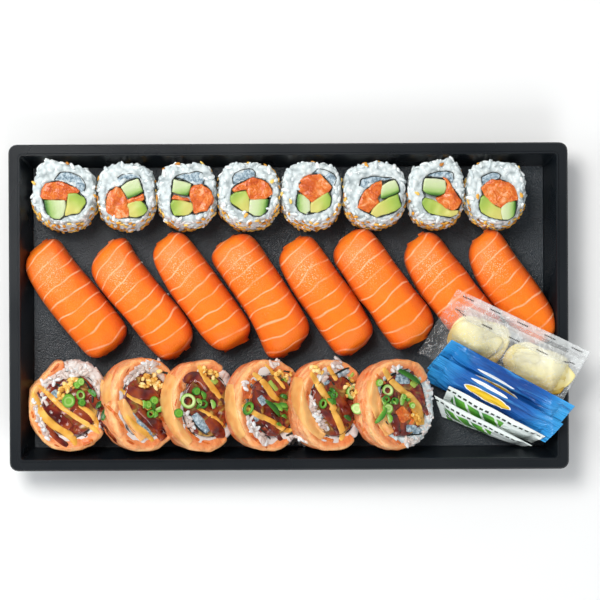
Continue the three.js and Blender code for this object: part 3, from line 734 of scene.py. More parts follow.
def add_lap(roll):
    """The inner lap of seaweed: a strip that stands along a line in the rice."""
    strip = new_piece("grid", x_subdivisions=40, y_subdivisions=1, size=2)
    line = along_line(roll["flap"], 41)
    for _ in range(2):
        line[1:-1] = (line[:-2] + 2 * line[1:-1] + line[2:]) / 4

    def stand(points):
        place = line[np.rint((points[:, 0] * MM + 1) * 20).astype(int)] + roll["middle"]
        low = points[:, 1] < 0
        return np.column_stack([place, np.where(low, ROLL_TOP - 3, ROLL_TOP + 0.3)])

    move_points(strip, stand)
    thicken(strip, SEAWEED)
    return strip


for number, roll in enumerate(ROLLS, 1):
    sheet = join([add_seaweed(roll), add_lap(roll)])
    move_points(sheet, lambda p: p + np.column_stack([np.zeros((len(p), 2)), 0.15 * ripple(p, 6, number)]))
    finish_piece(sheet, f"roll_seaweed_{number}", nori_finish, [f"inside_out_roll_{number}"])


# %% Batons of salmon, cucumber and avocado
BATON_LENGTH = 7
# how often each kind is smoothed, how rough it is, and how much wider its corners start, because
# smoothing takes a little off all round
BATONS = {"salmon": (7, 0.35, 1.09), "cucumber": (2, 0.08, 1.04), "avocado": (4, 0.2, 1.06),
    "rice": (3, 0.2, 1.0)}


def add_baton(kind, corners, top, seed):
    """A baton that stands in the roll with its cut end up, its edges softened by a remesh."""
    softness, roughness, scale = BATONS[kind]
    baton = new_piece("circle", vertices=len(corners), radius=1, fill_type="NGON")
    middle = np.mean(corners, axis=0)
    corners = middle + (np.array(corners) - middle) * scale
    move_points(baton, lambda p: np.column_stack([corners, np.full(len(corners), top)]))
    with edit_mode(baton):
        extrude(-BATON_LENGTH)
        face_outward()
    soften(baton, 0.5, softness)
    roughen(baton, roughness, 5, seed)
    return baton


def rind_share(points, facing):
    """How near each point is to the side that faces one way: 0 to 1."""
    way = np.array([math.cos(math.radians(facing)), math.sin(math.radians(facing))])
    at = points[:, :2] @ way
    return (at - at.min()) / (at.max() - at.min())


for number, roll in enumerate(ROLLS, 1):
    node = f"inside_out_roll_{number}"
    made = {}
    for order, (kind, facing, corners) in enumerate(roll["batons"]):
        placed = np.array(corners) + roll["middle"]
        baton = add_baton(kind, placed, ROLL_TOP + 0.5, 100 * number + 10 * order)
        set_values(baton, "rind", rind_share(points_of(baton), facing))
        made.setdefault(kind, []).append(baton)
    for kind, batons in made.items():
        finish_piece(join(batons), f"roll_{kind}_{number}", FINISHES[kind], [node])
    # the rice between the two laps of seaweed
    line = along_line(roll["flap"], 16)
    inner = line * (edge_at(roll, *line.T) + 0.3)[:, None] / np.linalg.norm(line, axis=1)[:, None]
    ring = np.vstack([line, inner[::-1]]) + roll["middle"]
    tucked = add_baton("rice", ring, ROLL_TOP + 0.15, 100 * number + 90)
    finish_piece(tucked, f"roll_lap_{number}", lap_rice, [node])

# %% [markdown]
# ## Loose grains and seeds
# A cooked grain of sushi rice is about 5 mm long. One grain is made from a small sphere that
# is stretched and bent, and copies of it cover the sides and the ring of rice on the cut end.
# Toasted sesame sticks to the outside, mostly where the roll was pressed into it.


# %% One grain of rice and one sesame seed
def add_drop(name, length, width, height, taper):
    """A low ball, stretched along X, thinner towards its far end and a little bent."""
    drop = new_piece("uv_sphere", segments=7, ring_count=5, radius=0.5)
    drop.name = name
    with edit_mode(drop):
        bpy.ops.transform.rotate(value=math.pi / 2, orient_axis="Y", center_override=(0, 0, 0))
        size = (length * MM, width * MM, height * MM)
        bpy.ops.transform.resize(value=size, center_override=(0, 0, 0))

    def bend(points):
        share = points[:, 0] / (length / 2)
        points[:, 1:] *= (1 - taper * share)[:, None]
        points[:, 1] += 0.08 * length * share**2
        return points

    move_points(drop, bend)
    return drop


grain = add_drop("one_grain", 5.0, 2.25, 1.9, 0.08)
seed_shape = add_drop("one_seed", 3.0, 1.7, 0.95, 0.3)


# %% Lay the grains and seeds on the rolls
def around_rolls(places, directions):
    """Grains lie on the sides and on the cut end outside the seaweed, not underneath."""
    free = directions[:, 2] > -0.6
    for roll in ROLLS:
        near = np.abs(places[:, 0] - roll["middle"][0]) < 17
        filled = inside_edge(roll, places, 1.3) | in_flap(roll, places, 1.0)
        free &= ~(near & filled & (places[:, 2] > ROLL_TOP - 5))
    return free & (places[:, 2] > FLOOR_TOP + 1.0)


grains_found, seeds_found = [], []
for number, rice in enumerate(roll_rice, 1):
    grains_found.append(places_on(rice, 1800, 2.2, 200 + number, around_rolls))

    def pressed_side(p, d):
        # seeds are dense low on the near side, and sparse elsewhere
        rng = np.random.default_rng(300 + number)
        dense = np.clip(0.16 - 0.95 * d[:, 1], 0.1, 1) * (d[:, 2] < 0.6) + 0.05 * (d[:, 2] >= 0.6)
        return (rng.random(len(p)) < dense) & around_rolls(p, d)

    seeds_found.append(places_on(rice, 420, 2.0, 400 + number, pressed_side))

places, directions = all_found(grains_found)
# on the cut end the knife has pressed the grains in, so there they lie deeper
sunk = np.where(directions[:, 2] > 0.8, -0.95, -0.35)[:, None]
roll_nodes = numbered("inside_out_roll", 8)
lay_copies(
    "roll_grains", grain, (places + sunk * directions, directions), 5, rice_finish, roll_nodes
)
lay_copies(
    "sesame_seeds", seed_shape, all_found(seeds_found), 6, sesame_finish, roll_nodes,
    lift=0.75, lean=0.15,
)

# %% [markdown]
# ## The nigiri
# A nigiri is a hand-pressed block of rice under a slice of raw salmon that hangs over all its
# edges. The slice is soft and even, so it starts as a flat grid that is bent over the block by
# a rule, thickened by Solidify and smoothed by one subdivision.

# %% Sizes of the nigiri
# Each nigiri: its middle, its length, the width of its head, waist and tail, its slant, how
# far its head and tail swerve sideways, and how far its tail droops.
NIGIRI = [
    (-108.3, 4.2, 64.6, (22.5, 25.6, 26.1), -51, (3.1, -0.1), 7),
    (-73.9, 3.3, 65.9, (26.3, 24.4, 23.3), -49.3, (4, -2.1), 7),
    (-44.8, 7.4, 65.8, (20.7, 24.5, 22.1), -54.2, (1.6, 0.8), 7),
    (-13.3, 6.9, 65.2, (24.6, 24.9, 28), -57.1, (-1.3, -3.8), 7),
    (18.4, 5.4, 63.8, (21.6, 25.1, 24.3), -55.4, (1.7, -1.6), 7),
    (47.3, 8.9, 64.6, (23.8, 25.7, 26.9), -54.7, (1.2, -0.5), 7),
    (81.9, 6.6, 65.8, (20.7, 25.5, 25.6), -52, (2.9, -1.6), 7),
    (112.2, 8.2, 63, (19.5, 24, 19.4), -54, (4, -1.4), 1),
]
NIGIRI_HEIGHT = 20.5
HEAD_DROOP = 7
HEM = 0.34
SLAB = 5.5


def nigiri_width(widths, along):
    head, waist, tail = widths
    end = np.where(along < 0, head, tail)
    body = waist + (end - waist) * along**2
    return body * np.sqrt(1 - along**12)


def nigiri_middle(skew, along):
    return np.where(along < 0, skew[0], skew[1]) * np.abs(along) ** 3


def nigiri_height(tail_droop, along):
    droop = np.where(along > 0, tail_droop, HEAD_DROOP)
    return NIGIRI_HEIGHT - droop * np.abs(along) ** 4


def set_down(piece, x, y, slant):
    """Turns a piece that was built round its own middle, and sets it in the tray."""
    turn = Matrix.Rotation(math.radians(slant), 4, "Z")
    piece.data.transform(Matrix.Translation((x * MM, y * MM, FLOOR_TOP * MM)) @ turn)
    move_points(piece, press_into_tray)

# %% Salmon for the nigiri
FAT_SPACING = 7.6
FAT_WIDTH = 0.6

# Raw salmon, sliced across its grain: clear orange, with curved pale lines of fat, and its fibres
# as bumps. It is painted darker and redder towards both edges, most towards one, as painted shade
# where the slice bends down, and pale sparkles on its head are a painted highlight. The first
# coordinate of its map counts millimetres across the lines of fat, and the second runs from edge
# to edge.
slab_finish = new_material("raw_salmon_slice", 0.33, 1.33, through=(0.06, (1.0, 0.35, 0.12), 2))
add = partial(add_node, slab_finish)
flesh_map = add("UVMap", uv_map="flesh")
over_fat, to_edge = (add("SeparateXYZ", (flesh_map,), output=axis) for axis in "XY")
position = add("TexCoord", output="Object")
wander, fade, mottle, glint, fibre = (
    add(
        "TexNoise",
        {"Vector": position, "Scale": 1 / (size * MM), "Detail": detail, "Roughness": roughness},
    )
    for size, detail, roughness in ((16, 1, 0.5), (11, 2, 0.5), (5, 4, 0.65), (0.55, 1, 0.5), (0.8, 2, 0.7))
)
shifted = add("Math", (wander, 7.0, over_fat), operation="MULTIPLY_ADD")
folded = add("Math", (shifted, FAT_SPACING / 2), operation="PINGPONG")
fat = add("MapRange", (folded, FAT_WIDTH, 0.1, 0.0, 0.8))
strength = add("MapRange", (fade, 0.34, 0.56, 0.25, 1.0))
fat = add("Math", (fat, strength), operation="MULTIPLY")
# darker and redder towards both edges, most towards the second: painted shade on the flanks
slab_shades = [(0.0, "#cf3c1a"), (0.12, "#e65a14"), (0.4, "#f07314"), (0.74, "#ee6814"), (0.9, "#d83a18"),
    (1.0, "#a82016")]
edge_shade = add("ValToRGB", (to_edge,), slab_shades)
mottled = add("MixRGB", (mottle, edge_shade, "#f78c22"))
mottled = add("MixRGB", (0.4, mottled, edge_shade))
lined = add("MixRGB", (fat, mottled, "#fdb98e"))
# an attribute of the slice's points says where its head glints, and there pale sparkles are painted into its
# colour: a painted highlight
glint = add("MapRange", (glint, 0.54, 0.72, 0.0, 0.75))
oily = add("Attribute", output="Fac", attribute_name="oily")
glint = add("Math", (glint, oily), operation="MULTIPLY")
add("MixRGB", (glint, lined, "#ffe0bc"), to="Base Color")
relief = add("Math", (fat, 0.5, fibre), operation="MULTIPLY_ADD")
add("Bump", {"Height": relief, "Strength": 0.6, "Distance": 0.4 * MM}, to="Normal")


# %% Rice blocks and salmon slices
def add_rice_block(length, widths, skew, tail_droop):
    block = new_piece("cube", size=2)
    with edit_mode(block):
        bpy.ops.mesh.subdivide(number_cuts=20)

    def press(points):
        along, across, up = (points[:, i] * MM for i in range(3))
        end = np.clip(np.abs(along), 0, 1)
        along = np.sign(along) * end**0.8 * 0.9
        low = (up + 1) / 2
        swell = 0.9 + 0.08 * np.sin(np.pi * np.clip(low * 1.4, 0, 1))
        narrow = np.sqrt(np.clip(1 - 0.55 * low**4, 0, 1))
        half = np.maximum(nigiri_width(widths, along), 10) / 2 * swell * narrow - 0.8
        rounding = 1 - 0.18 * end**6
        top = nigiri_height(tail_droop, along) - 3.5
        z = low * top * (1 - 0.25 * np.abs(across) ** 4)
        x = along * length / 2 * (1 - 0.05 * low**3) * (1 - 0.06 * np.abs(across) ** 4)
        return np.column_stack([x, nigiri_middle(skew, along) + across * half * rounding, z])

    move_points(block, press)
    soften(block, 1.1, 4)
    return block


def fat_count(x, y):
    """Millimetres across the curved lines of fat: closer and leaning at the head, bowed at the tail."""
    share = np.clip(x / 32, -1, 1)
    lean = 0.06 - 0.2 * share
    bow = 0.008 * np.clip(-share * 1.6, -1.4, 1)
    return x * (1.08 - 0.08 * share) + lean * y - bow * y**2


def add_salmon_slice(length, widths, skew, tail_droop, seed):
    slab = new_piece("grid", x_subdivisions=44, y_subdivisions=22, size=2)

    def drape(points):
        u, v = points[:, 0] * MM, points[:, 1] * MM
        along = np.sign(u) * np.sin(np.abs(u) * np.pi / 2) ** 0.9 * 0.999
        turn = np.abs(v) * np.pi / 2
        wide = np.sin(turn) ** (2 / 3.3)
        high = np.cos(turn) ** (2 / 3.3)
        half = np.maximum(nigiri_width(widths, along), 11) / 2
        crown = nigiri_height(tail_droop, along)
        crown = crown - 5.5 * np.clip((np.abs(along) - 0.9) / 0.1, 0, 1) ** 2
        low = HEM * NIGIRI_HEIGHT * (1 - 0.35 * np.abs(along) ** 6)
        z = low + (crown - low) * high
        x = along * length / 2
        y = nigiri_middle(skew, along) + np.sign(v) * wide * half
        flat = np.column_stack([x, y, z])
        # the knife leaves ragged ends, and the edges hang unevenly
        flat[:, 0] += np.where(u < 0, -0.3, 0.7) * ripple(flat, 9, seed + 3) * np.abs(u) ** 6
        flat[:, 1] += 0.4 * ripple(flat, 22, seed) * np.abs(v) ** 2
        flat[:, 2] += 0.35 * ripple(flat, 26, seed + 1) + 0.8 * ripple(flat, 17, seed + 2) * np.abs(v) ** 6
        return flat

    move_points(slab, drape)
    modify(slab, "SOLIDIFY", thickness=SLAB * MM * 0.6, offset=-1)
    modify(slab, "BEVEL", width=0.9 * MM, segments=2, limit_method="ANGLE")
    modify(slab, "SUBSURF", levels=1, render_levels=1)
    points = points_of(slab)
    along = np.clip(points[:, 0] / (length / 2), -0.999, 0.999)
    half = np.maximum(nigiri_width(widths, along), 9) / 2
    across = points[:, 1] - nigiri_middle(skew, along)
    edge = np.clip(0.5 + 0.5 * across / half, 0, 1)
    count = fat_count(points[:, 0], across) + 40 + np.random.default_rng(seed).uniform(0, 8)
    # where the head glints: the painted highlight follows this
    set_values(slab, "oily", np.exp(-(((along + 0.5) / 0.3) ** 2) - ((across / half + 0.1) / 0.5) ** 2))
    set_map(slab, "flesh", count, edge)
    return slab


def open_sides(p, d):
    """Which places are low on a block's sides, but not under it."""
    return (p[:, 2] < FLOOR_TOP + 12) & (p[:, 2] > FLOOR_TOP + 0.8) & (d[:, 2] > -0.5)


found = []
for number, (x, y, length, widths, slant, skew, tail_droop) in enumerate(NIGIRI, 1):
    node = f"salmon_nigiri_{number}"
    block = add_rice_block(length, widths, skew, tail_droop)
    set_down(block, x, y, slant)
    finish_piece(block, f"nigiri_rice_{number}", packed_rice, [node])
    slab = add_salmon_slice(length, widths, skew, tail_droop, 500 + 10 * number)
    set_down(slab, x, y, slant)
    finish_piece(slab, f"nigiri_salmon_{number}", slab_finish, [node])
    found.append(places_on(block, 900, 2.4, 600 + number, open_sides))
nigiri_nodes = numbered("salmon_nigiri", 8)
lay_copies("nigiri_grains", grain, all_found(found), 7, rice_finish, nigiri_nodes, lift=-0.4)

# %% [markdown]
# ## The topped rolls
# These are thick slices of a roll wrapped in seared salmon. Each leans on the one before it, so
# the camera sees its cut face foreshortened and its salmon flank beside it. Every slice is
# modelled lying flat, where a rule for its outline is simple, and then tilted into place.

# %% Places of the slices
# Each slice: its left edge, width, depth, tilt, thickness, how far back it stands, the angles
# between which the salmon coat covers its flank, and the flat of one that isn't round: the way
# the flat faces, and how far out it lies.
SLICES = [
    (-132.9, 42, 47.4, 7, 21.5, 0.2, 98, 322, (138.6, 20.6)),
    (-96.4, 39.2, 47.6, 30, 16.2, 0, 36, 324, None),
    (-66.4, 39.2, 46.4, 30, 16.2, -0.6, 62, 305, None),
    (-34.1, 39.2, 46.4, 30, 16.2, -0.6, 42, 302, None),
    (-2.7, 39.2, 46.4, 30, 16.2, -0.6, 38, 304, None),
    (30.3, 41, 46.4, 30, 16.2, -0.6, 40, 282, None),
]
SLICE_ROW_Y = -48.7
SLICE_SINK = 1.2
COAT = 2.2
FILLING_SHARE = 0.66


def tilt_of(sizes):
    """The matrix that tilts a flat slice and sets it in the tray, in metres."""
    left, width, _, tilt, _, back = sizes[:6]
    half, angle = width / 2, math.radians(tilt)
    rise = 0 if tilt < 10 else half * math.sin(angle)
    x = left + half * math.cos(angle)
    place = Vector((x, SLICE_ROW_Y + back, FLOOR_TOP + rise - SLICE_SINK)) * MM
    return Matrix.Translation(place) @ Matrix.Rotation(angle, 4, "Y")


def outline_at(angle, sizes, power=2.25):
    """The radius of a slice's outline at each angle."""
    _, width, depth, _, _, _, _, _, flat = sizes
    c, s = np.abs(np.cos(angle)) / (width / 2), np.abs(np.sin(angle)) / (depth / 2)
    radius = 1 / (c**power + s**power) ** (1 / power)
    if flat:
        facing = np.cos(angle - math.radians(flat[0]))
        radius = np.where(facing > 0.3, np.minimum(radius, flat[1] / np.maximum(facing, 0.3)), radius)
    return radius


def share_of(points, sizes):
    """How far a point is from a slice's middle: 1 on its outline."""
    x, y = points[:, 0], points[:, 1]
    return np.hypot(x, y) / outline_at(np.arctan2(y, x), sizes)


# %% Finishes of the topped rolls
# Seared salmon under a glaze of spiced mayonnaise: peach and cream with scorched orange streaks.
# The map runs round the slice, and then up its flank and over its rim, in millimetres.
coat_finish = new_material("seared_salmon", 0.36, 1.42, through=(0.15, (1.0, 0.5, 0.25), 2), coat=(0.2, 0.3))
add = partial(add_node, coat_finish)
position = add("TexCoord", output="Object")
wrap_map = add("UVMap", uv_map="wrap")
over_rim = add("SeparateXYZ", (wrap_map,), output="Y")
streaks = add("Mapping", {"Vector": wrap_map, "Scale": (0.13, 0.24, 1)})
patches = add(
    "TexNoise",
    {"Vector": streaks, "Scale": 1.0, "Detail": 6.0, "Roughness": 0.72, "Distortion": 0.4},
)
coat_shades = [(0.34, "#d8622c"), (0.42, "#e5824c"), (0.49, "#eb9c6a"), (0.56, "#eeae7e"), (0.64, "#f0bd7e")]
shade = add("ValToRGB", (patches,), coat_shades)
# creamy over the rim, seared along its inner edge, and darker orange low on the flank: painted shade on the
# underside, which turns from the light
for start, end, most, tone in (
    (-4.0, 1.0, 0.35, "#f4c57a"),
    (2.2, 4.5, 0.6, "#de6226"),
    (-7.0, -13.0, 0.6, "#d2602a"),
):
    share = add("MapRange", (over_rim, start, end, 0.0, most))
    shade = add("MixRGB", (share, shade, tone), to="Base Color")
flake = add("TexNoise", {"Vector": position, "Scale": 1 / (2.4 * MM), "Detail": 3.0})
add("Bump", {"Height": flake, "Strength": 0.8, "Distance": 1.3 * MM}, to="Normal")

# Minced filling under sauce: brown, rust and tan in small lumps, glossy.
mince_finish = food_finish(
    "sauced_filling", 0.25, 1.42, (5.5, 2, 0.5, 0.8),
    [(0.3, "#34100a"), (0.44, "#6a1c10"), (0.52, "#8c3418"), (0.6, "#75521f"), (0.72, "#b98c44")],
    bumps=(0.7, 1.2), coat=(0.4, 0.12),
)
# Sweet soy glaze: dark brown syrup, almost black where it is deep, with a wet shine.
glaze_finish = food_finish(
    "sweet_soy_glaze", 0.1, 1.42, (7, 1), [(0.36, "#460c07"), (0.5, "#6e180d"), (0.66, "#96401c")],
    bumps=(0.8, 2.5), coat=(0.6, 0.03),
)
# Spiced mayonnaise: an opaque yellow-orange cream with a satin skin, paler where it is thin.
mayo_finish, thin_mayo = (
    food_finish(name, 0.32, 1.45, (6, 1), [(0.35, low), (0.6, high)], through=(0.1, (1.0, 0.7, 0.3), 1))
    for name, low, high in (
        ("spiced_mayonnaise", "#d89a36", "#eeb858"),
        ("thin_spiced_mayonnaise", "#e29c58", "#eab26c"),
    )
)
# Fresh spring onion: the tint runs from dark leaf to pale stem.
onion_finish = food_finish("fresh_spring_onion", 0.35, 1.4, "tint",
    [(0.0, "#1a4016"), (0.4, "#3a7c24"), (0.7, "#74ae38"), (1.0, "#cadb98")],
    through=(0.15, (0.6, 1.0, 0.3), 1))
# Crisp tempura crumbs: fried batter, golden.
crumb_finish = food_finish(
    "tempura_crumb", 0.5, 1.45, "tint", [(0.0, "#cc8a2e"), (0.5, "#ecbf5c"), (1.0, "#f6dc9a")]
)


# %% Rice, salmon coat, seaweed and filling of each slice
def add_coat(sizes, seed):
    """A sheet of salmon that wraps the flank and turns in over the rim of the cut face."""
    thickness, start, end = sizes[4], sizes[6], sizes[7]
    coat = new_piece("grid", x_subdivisions=72, y_subdivisions=20, size=2)

    def wrap(points):
        u, v = (points[:, 0] * MM + 1) / 2, (points[:, 1] * MM + 1) / 2
        angle = np.radians(start + (end - start) * u)
        radius = outline_at(angle, sizes)
        ends = np.clip(np.minimum(u, 1 - u) / 0.06, 0, 1) ** 0.5
        flank = np.clip(v / 0.6, 0, 1)
        turn = np.clip((v - 0.6) / 0.2, 0, 1) * np.pi / 2
        lip = np.clip((v - 0.8) / 0.2, 0, 1)
        inset = 0.02 * radius + 0.7 * (1 - ends) + 0.05 * radius * (1 - flank) ** 2
        far = radius - inset - 2.2 * (1 - np.cos(turn)) - lip * radius * 0.17
        z = 0.4 + flank * (thickness - 1.8) + 2.2 * np.sin(turn) - lip * 0.9
        flat = np.column_stack([far * np.cos(angle), far * np.sin(angle), z])
        rough = 0.35 * ripple(flat, 11, seed) + 0.25 * ripple(flat, 5, seed + 1)
        flat[:, 2] += rough * (0.3 + np.sin(turn))
        flat[:, :2] += (rough / radius)[:, None] * flat[:, :2]
        return flat

    move_points(coat, wrap)
    thicken(coat, COAT, offset=-1)
    modify(coat, "SUBSURF", levels=1, render_levels=1)
    points = points_of(coat)
    angle = np.arctan2(points[:, 1], points[:, 0])
    radius = outline_at(angle, sizes)
    round_it = (np.degrees(angle) % 360) * math.radians(20) + 40 * seed
    over_rim = points[:, 2] - thickness + radius - np.hypot(points[:, 0], points[:, 1])
    set_map(coat, "wrap", round_it, over_rim)
    return coat


def add_disc(width, depth, share, bottom, top, bumps, seed):
    """A low rough plug inside a slice's outline."""
    disc = new_piece("grid", x_subdivisions=30, y_subdivisions=30, size=2)

    def spread(points):
        square = points[:, :2] * MM
        x = square[:, 0] * np.sqrt(1 - square[:, 1] ** 2 / 2)
        y = square[:, 1] * np.sqrt(1 - square[:, 0] ** 2 / 2)
        edge = np.clip((1 - np.hypot(x, y)) / 0.15, 0, 1)
        flat = np.column_stack([x * width / 2 * share, y * depth / 2 * share, np.full(len(x), top)])
        flat[:, 2] += edge * bumps * (0.6 * ripple(flat, 7, seed) + 0.4 * ripple(flat, 4, seed + 1))
        return flat

    move_points(disc, spread)
    with edit_mode(disc):
        bpy.ops.mesh.region_to_loop()
        extrude(bottom - top)
        bpy.ops.mesh.edge_face_add()
        face_outward()
    return disc


def add_slice_seaweed(sizes, seed):
    sheet = new_piece("circle", vertices=96, radius=10 * MM, fill_type="NOTHING")

    def outline(points):
        angle = np.arctan2(points[:, 1], points[:, 0])
        far = outline_at(angle, sizes) * (FILLING_SHARE + 0.02)
        far = far * (1 + 0.03 * ripple(points, 9, seed))
        return np.column_stack([far * np.cos(angle), far * np.sin(angle), np.full(len(points), sizes[4] - 4)])

    move_points(sheet, outline)
    with edit_mode(sheet):
        extrude(3.8)
    thicken(sheet, SEAWEED)
    return sheet


def add_slice_rice(number, sizes):
    width, thickness = sizes[1], sizes[4]
    rice = copy_of(frame["nodes"][f"topped_roll_{number}"], f"slice_rice_{number}")
    rice.data.transform(tilt_of(sizes).inverted())

    def level(points):
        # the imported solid's own drizzles and onions are laid flat, for the real ones to lie on
        share = share_of(points, sizes)
        angle = np.degrees(np.arctan2(points[:, 1], points[:, 0])) % 360
        drawn_in = np.where((angle > sizes[6]) & (angle < sizes[7]), 1.9, 0.6)
        top = thickness + np.where(share < FILLING_SHARE, -1.5, 0.5)
        points[:, 2] = np.minimum(points[:, 2], top)
        points[:, :2] *= (1 - drawn_in / (width / 2) * np.clip((share - 0.8) / 0.2, 0, 1))[:, None]
        return points

    move_points(rice, level)
    soften(rice, 0.9, 4)
    roughen(rice, 0.35, 5, number)
    set_values(rice, "tint", 0.6)
    return rice


slice_parts, slice_rice = [], []
for number, sizes in enumerate(SLICES, 1):
    width, depth, thickness = sizes[1], sizes[2], sizes[4]
    for name, part, finish, slot in (("rice", add_slice_rice(number, sizes), packed_rice
            if number == len(SLICES) else sauced_rice, "sushi_rice"),
            ("salmon", add_coat(sizes, 700 + number), coat_finish, "seared_salmon"),
            ("seaweed", add_slice_seaweed(sizes, 720 + number), nori_finish, "nori"),
            ("filling", add_disc(width, depth, FILLING_SHARE, thickness - 3, thickness + 0.9, 0.9, 740
            + number), mince_finish, "eel_sauce")):
        part.data.transform(tilt_of(sizes))
        move_points(part, press_into_tray)
        finish_piece(part, f"slice_{name}_{number}", finish, [f"topped_roll_{number}"])
        slice_parts.append(part)
    slice_rice.append(slice_parts[-4])

# %% Grains on the open rice of the slices
def flat_places(places, sizes):
    """Places in the tray, as they are when a slice lies flat round its own middle."""
    back_to_flat = np.array(tilt_of(sizes).inverted())
    return places @ back_to_flat[:3, :3].T + back_to_flat[:3, 3] / MM


found = []
for number, (rice, sizes) in enumerate(zip(slice_rice, SLICES), 1):

    def open_rice(places, directions):
        local = flat_places(places, sizes)
        angle = np.degrees(np.arctan2(local[:, 1], local[:, 0])) % 360
        bare = (angle < sizes[6] - 4) | (angle > sizes[7] + 4)
        bare &= share_of(local, sizes) > FILLING_SHARE + 0.06
        for other in SLICES:
            if other is not sizes:
                there = flat_places(places, other)
                bare &= (share_of(there, other) > 1.08) | (there[:, 2] > other[4] + 1.5)
        return bare & (places[:, 2] > FLOOR_TOP + 0.8) & (directions[:, 2] > -0.5)

    found.append(places_on(rice, 2600, 1.9, 800 + number, open_rice))
slice_nodes = numbered("topped_roll", 6)
lay_copies("slice_grains", grain, all_found(found), 8, sauced_rice, slice_nodes, lift=-0.8)

# %% [markdown]
# ## Sauces
# The sauces are poured from a bottle when all six slices stand in the tray, so their lines run
# on over several slices. Each line is a curve with a round profile. The lines are made flat on
# the ground first, where a voxel remesh melts them together, pressed low, and then every point
# is lifted to the food that lies under it.


# %% The height of the food, and lines of sauce laid on it
def food_under(pieces):
    """A search tree of the pieces' surfaces, for dropping things on them."""
    corners, faces, start = [], [], 0
    for piece in pieces:
        corners += [tuple(point) for point in points_of(piece)]
        faces += [tuple(v + start for v in face.vertices) for face in piece.data.polygons]
        start = len(corners)
    return BVHTree.FromPolygons(corners, faces)


def height_at(tree, x, y, missing=FLOOR_TOP):
    hit, _, _, _ = tree.ray_cast(Vector((x, y, 80)), Vector((0, 0, -1)))
    return hit.z if hit else missing


def surface_heights(tree, points, reach=0.9):
    """The food's height under each point, averaged over a small cross."""
    steps = ((0, 0), (reach, 0), (-reach, 0), (0, reach), (0, -reach))
    return np.array([sum(height_at(tree, x + dx, y + dy) for dx, dy in steps) / 5 for x, y in points[:, :2]])


def add_sauce_line(width, path, seed):
    """A flat curve with a round profile, a little uneven in width and tapered at its ends."""
    data = bpy.data.curves.new("sauce_line", "CURVE")
    data.dimensions = "3D"
    data.bevel_depth = width / 2 * MM
    data.bevel_resolution = 3
    data.use_fill_caps = True
    spline = data.splines.new("NURBS")
    spline.points.add(len(path) - 1)
    rng = np.random.default_rng(seed)
    for i, (point, (x, y)) in enumerate(zip(spline.points, path)):
        point.co = (x * MM, y * MM, 0, 1)
        point.radius = rng.uniform(0.85, 1.15) * (0.7 if i in (0, len(path) - 1) else 1)
    spline.use_endpoint_u = True
    spline.order_u = min(4, len(path))
    spline.resolution_u = 6
    line = bpy.data.objects.new("sauce_line", data)
    bpy.context.collection.objects.link(line)
    select_only(line)
    bpy.ops.object.convert(target="MESH")
    return bpy.context.object


def pour(lines, press, tree, seed, sink=0.35, voxel=0.45, soft=6, swell=1.2):
    """Melts lines of sauce together, presses them low and lays them on the food."""
    # smoothing takes some of each line's width, so the lines start wider; none starts off the food
    kept = [(width, [(x, y) for x, y in path if height_at(tree, x, y) > 9]) for width, path in lines]
    kept = [(swell * width + 0.3, path) for width, path in kept if len(path) > 1]
    sauce = join([add_sauce_line(width, path, seed + i) for i, (width, path) in enumerate(kept)])
    soften(sauce, voxel, soft)

    def lay(points):
        heights = surface_heights(tree, points)
        points[:, 2] = points[:, 2] * press + heights - sink + 0.15 * ripple(points, 6, seed)
        return press_into_tray(points)

    move_points(sauce, lay)
    return sauce


def rows_in(text):
    """Rows of a table that is written as a number, a colon and the points of a line."""
    rows = [row.split(":") for row in text.split(";")]
    return [(float(number), points_in(points)) for number, points in rows]


# Lines laid on the slices: a width, then the points that the line passes, all in millimetres.
# The thin line of width 2 that starts at -96.7 -54.7 is a dark line along the shaded right edge of the first
# slice's face, where the second slice meets it: painted shade.
EEL_SAUCE = rows_in("""
5.3: -121.6 -49.6, -117.7 -52.4, -113.3 -56.3, -109.5 -60.2; 4.7: -107.2 -50.8, -102.3 -54.1, -98.4 -58;
4.4: -99.4 -44.2, -96.7 -48.6, -92.8 -51.4; 2: -96.7 -54.7, -92.9 -59.7, -89 -63.6, -85.2 -68.6;
2.6: -122.7 -57.4, -118.9 -62.9, -114.5 -66.8, -110.6 -69; 3.3: -106.7 -60.8, -101.2 -64.1, -95.1 -68.6;
1.7: -126 -41.3, -123.8 -45.2; 5.3: -80.6 -39.3, -77.8 -42.1, -72.9 -43.8, -67.9 -43.8, -65.7 -42.7;
3.6: -75.1 -50.4, -69.1 -55.4, -65.2 -59.8, -63 -63.2; 5.3: -65.8 -62, -62.5 -65.9, -59.7 -68.7;
4.7: -51.3 -37.8, -50.1 -34.7, -45.7 -34.2, -42.4 -37.3, -40.2 -41.7;
5.6: -40.8 -55.5, -37.5 -58.9, -34.5 -62.2, -34.2 -65.5; 2.7: -38.6 -48.9, -35.8 -52.8;
2.2: -34.1 -45.6, -32.5 -48.9; 2.2: -17.5 -40.7, -18.1 -45.7, -15.9 -51.2, -13.2 -53.4;
2.4: -16.4 -40.1, -12 -40.7, -9.8 -44.6, -9.3 -49; 2.4: -8.7 -52.9, -5.4 -55.7, -3.2 -59;
2.8: -13.2 -56.8, -9.3 -60.7, -5.5 -64.5, -3.8 -66.8; 2.8: -7 -41.3, -4.8 -44.1;
3.1: 11.8 -40.3, 14 -43.6, 15.1 -46.9; 3.3: 16.2 -50.3, 19.5 -55.3, 23.3 -60.3;
4.7: 23.2 -44.8, 27 -48.7, 29.8 -52.5, 30.9 -55.9; 4.1: 19.8 -53.6, 23.1 -58.6, 25 -63.6;
2.2: 28.6 -58.6, 30.8 -61.4; 2.7: 53.1 -42.7, 53.1 -46, 53.6 -48.8; 4: 52.5 -53.8, 53.5 -58.7, 53.8 -64.8;
2.2: 60.8 -42.2, 64.7 -46.1, 68 -51.1, 69.6 -54.9; 2.8: 60.3 -33.9, 62.5 -33.3
""")
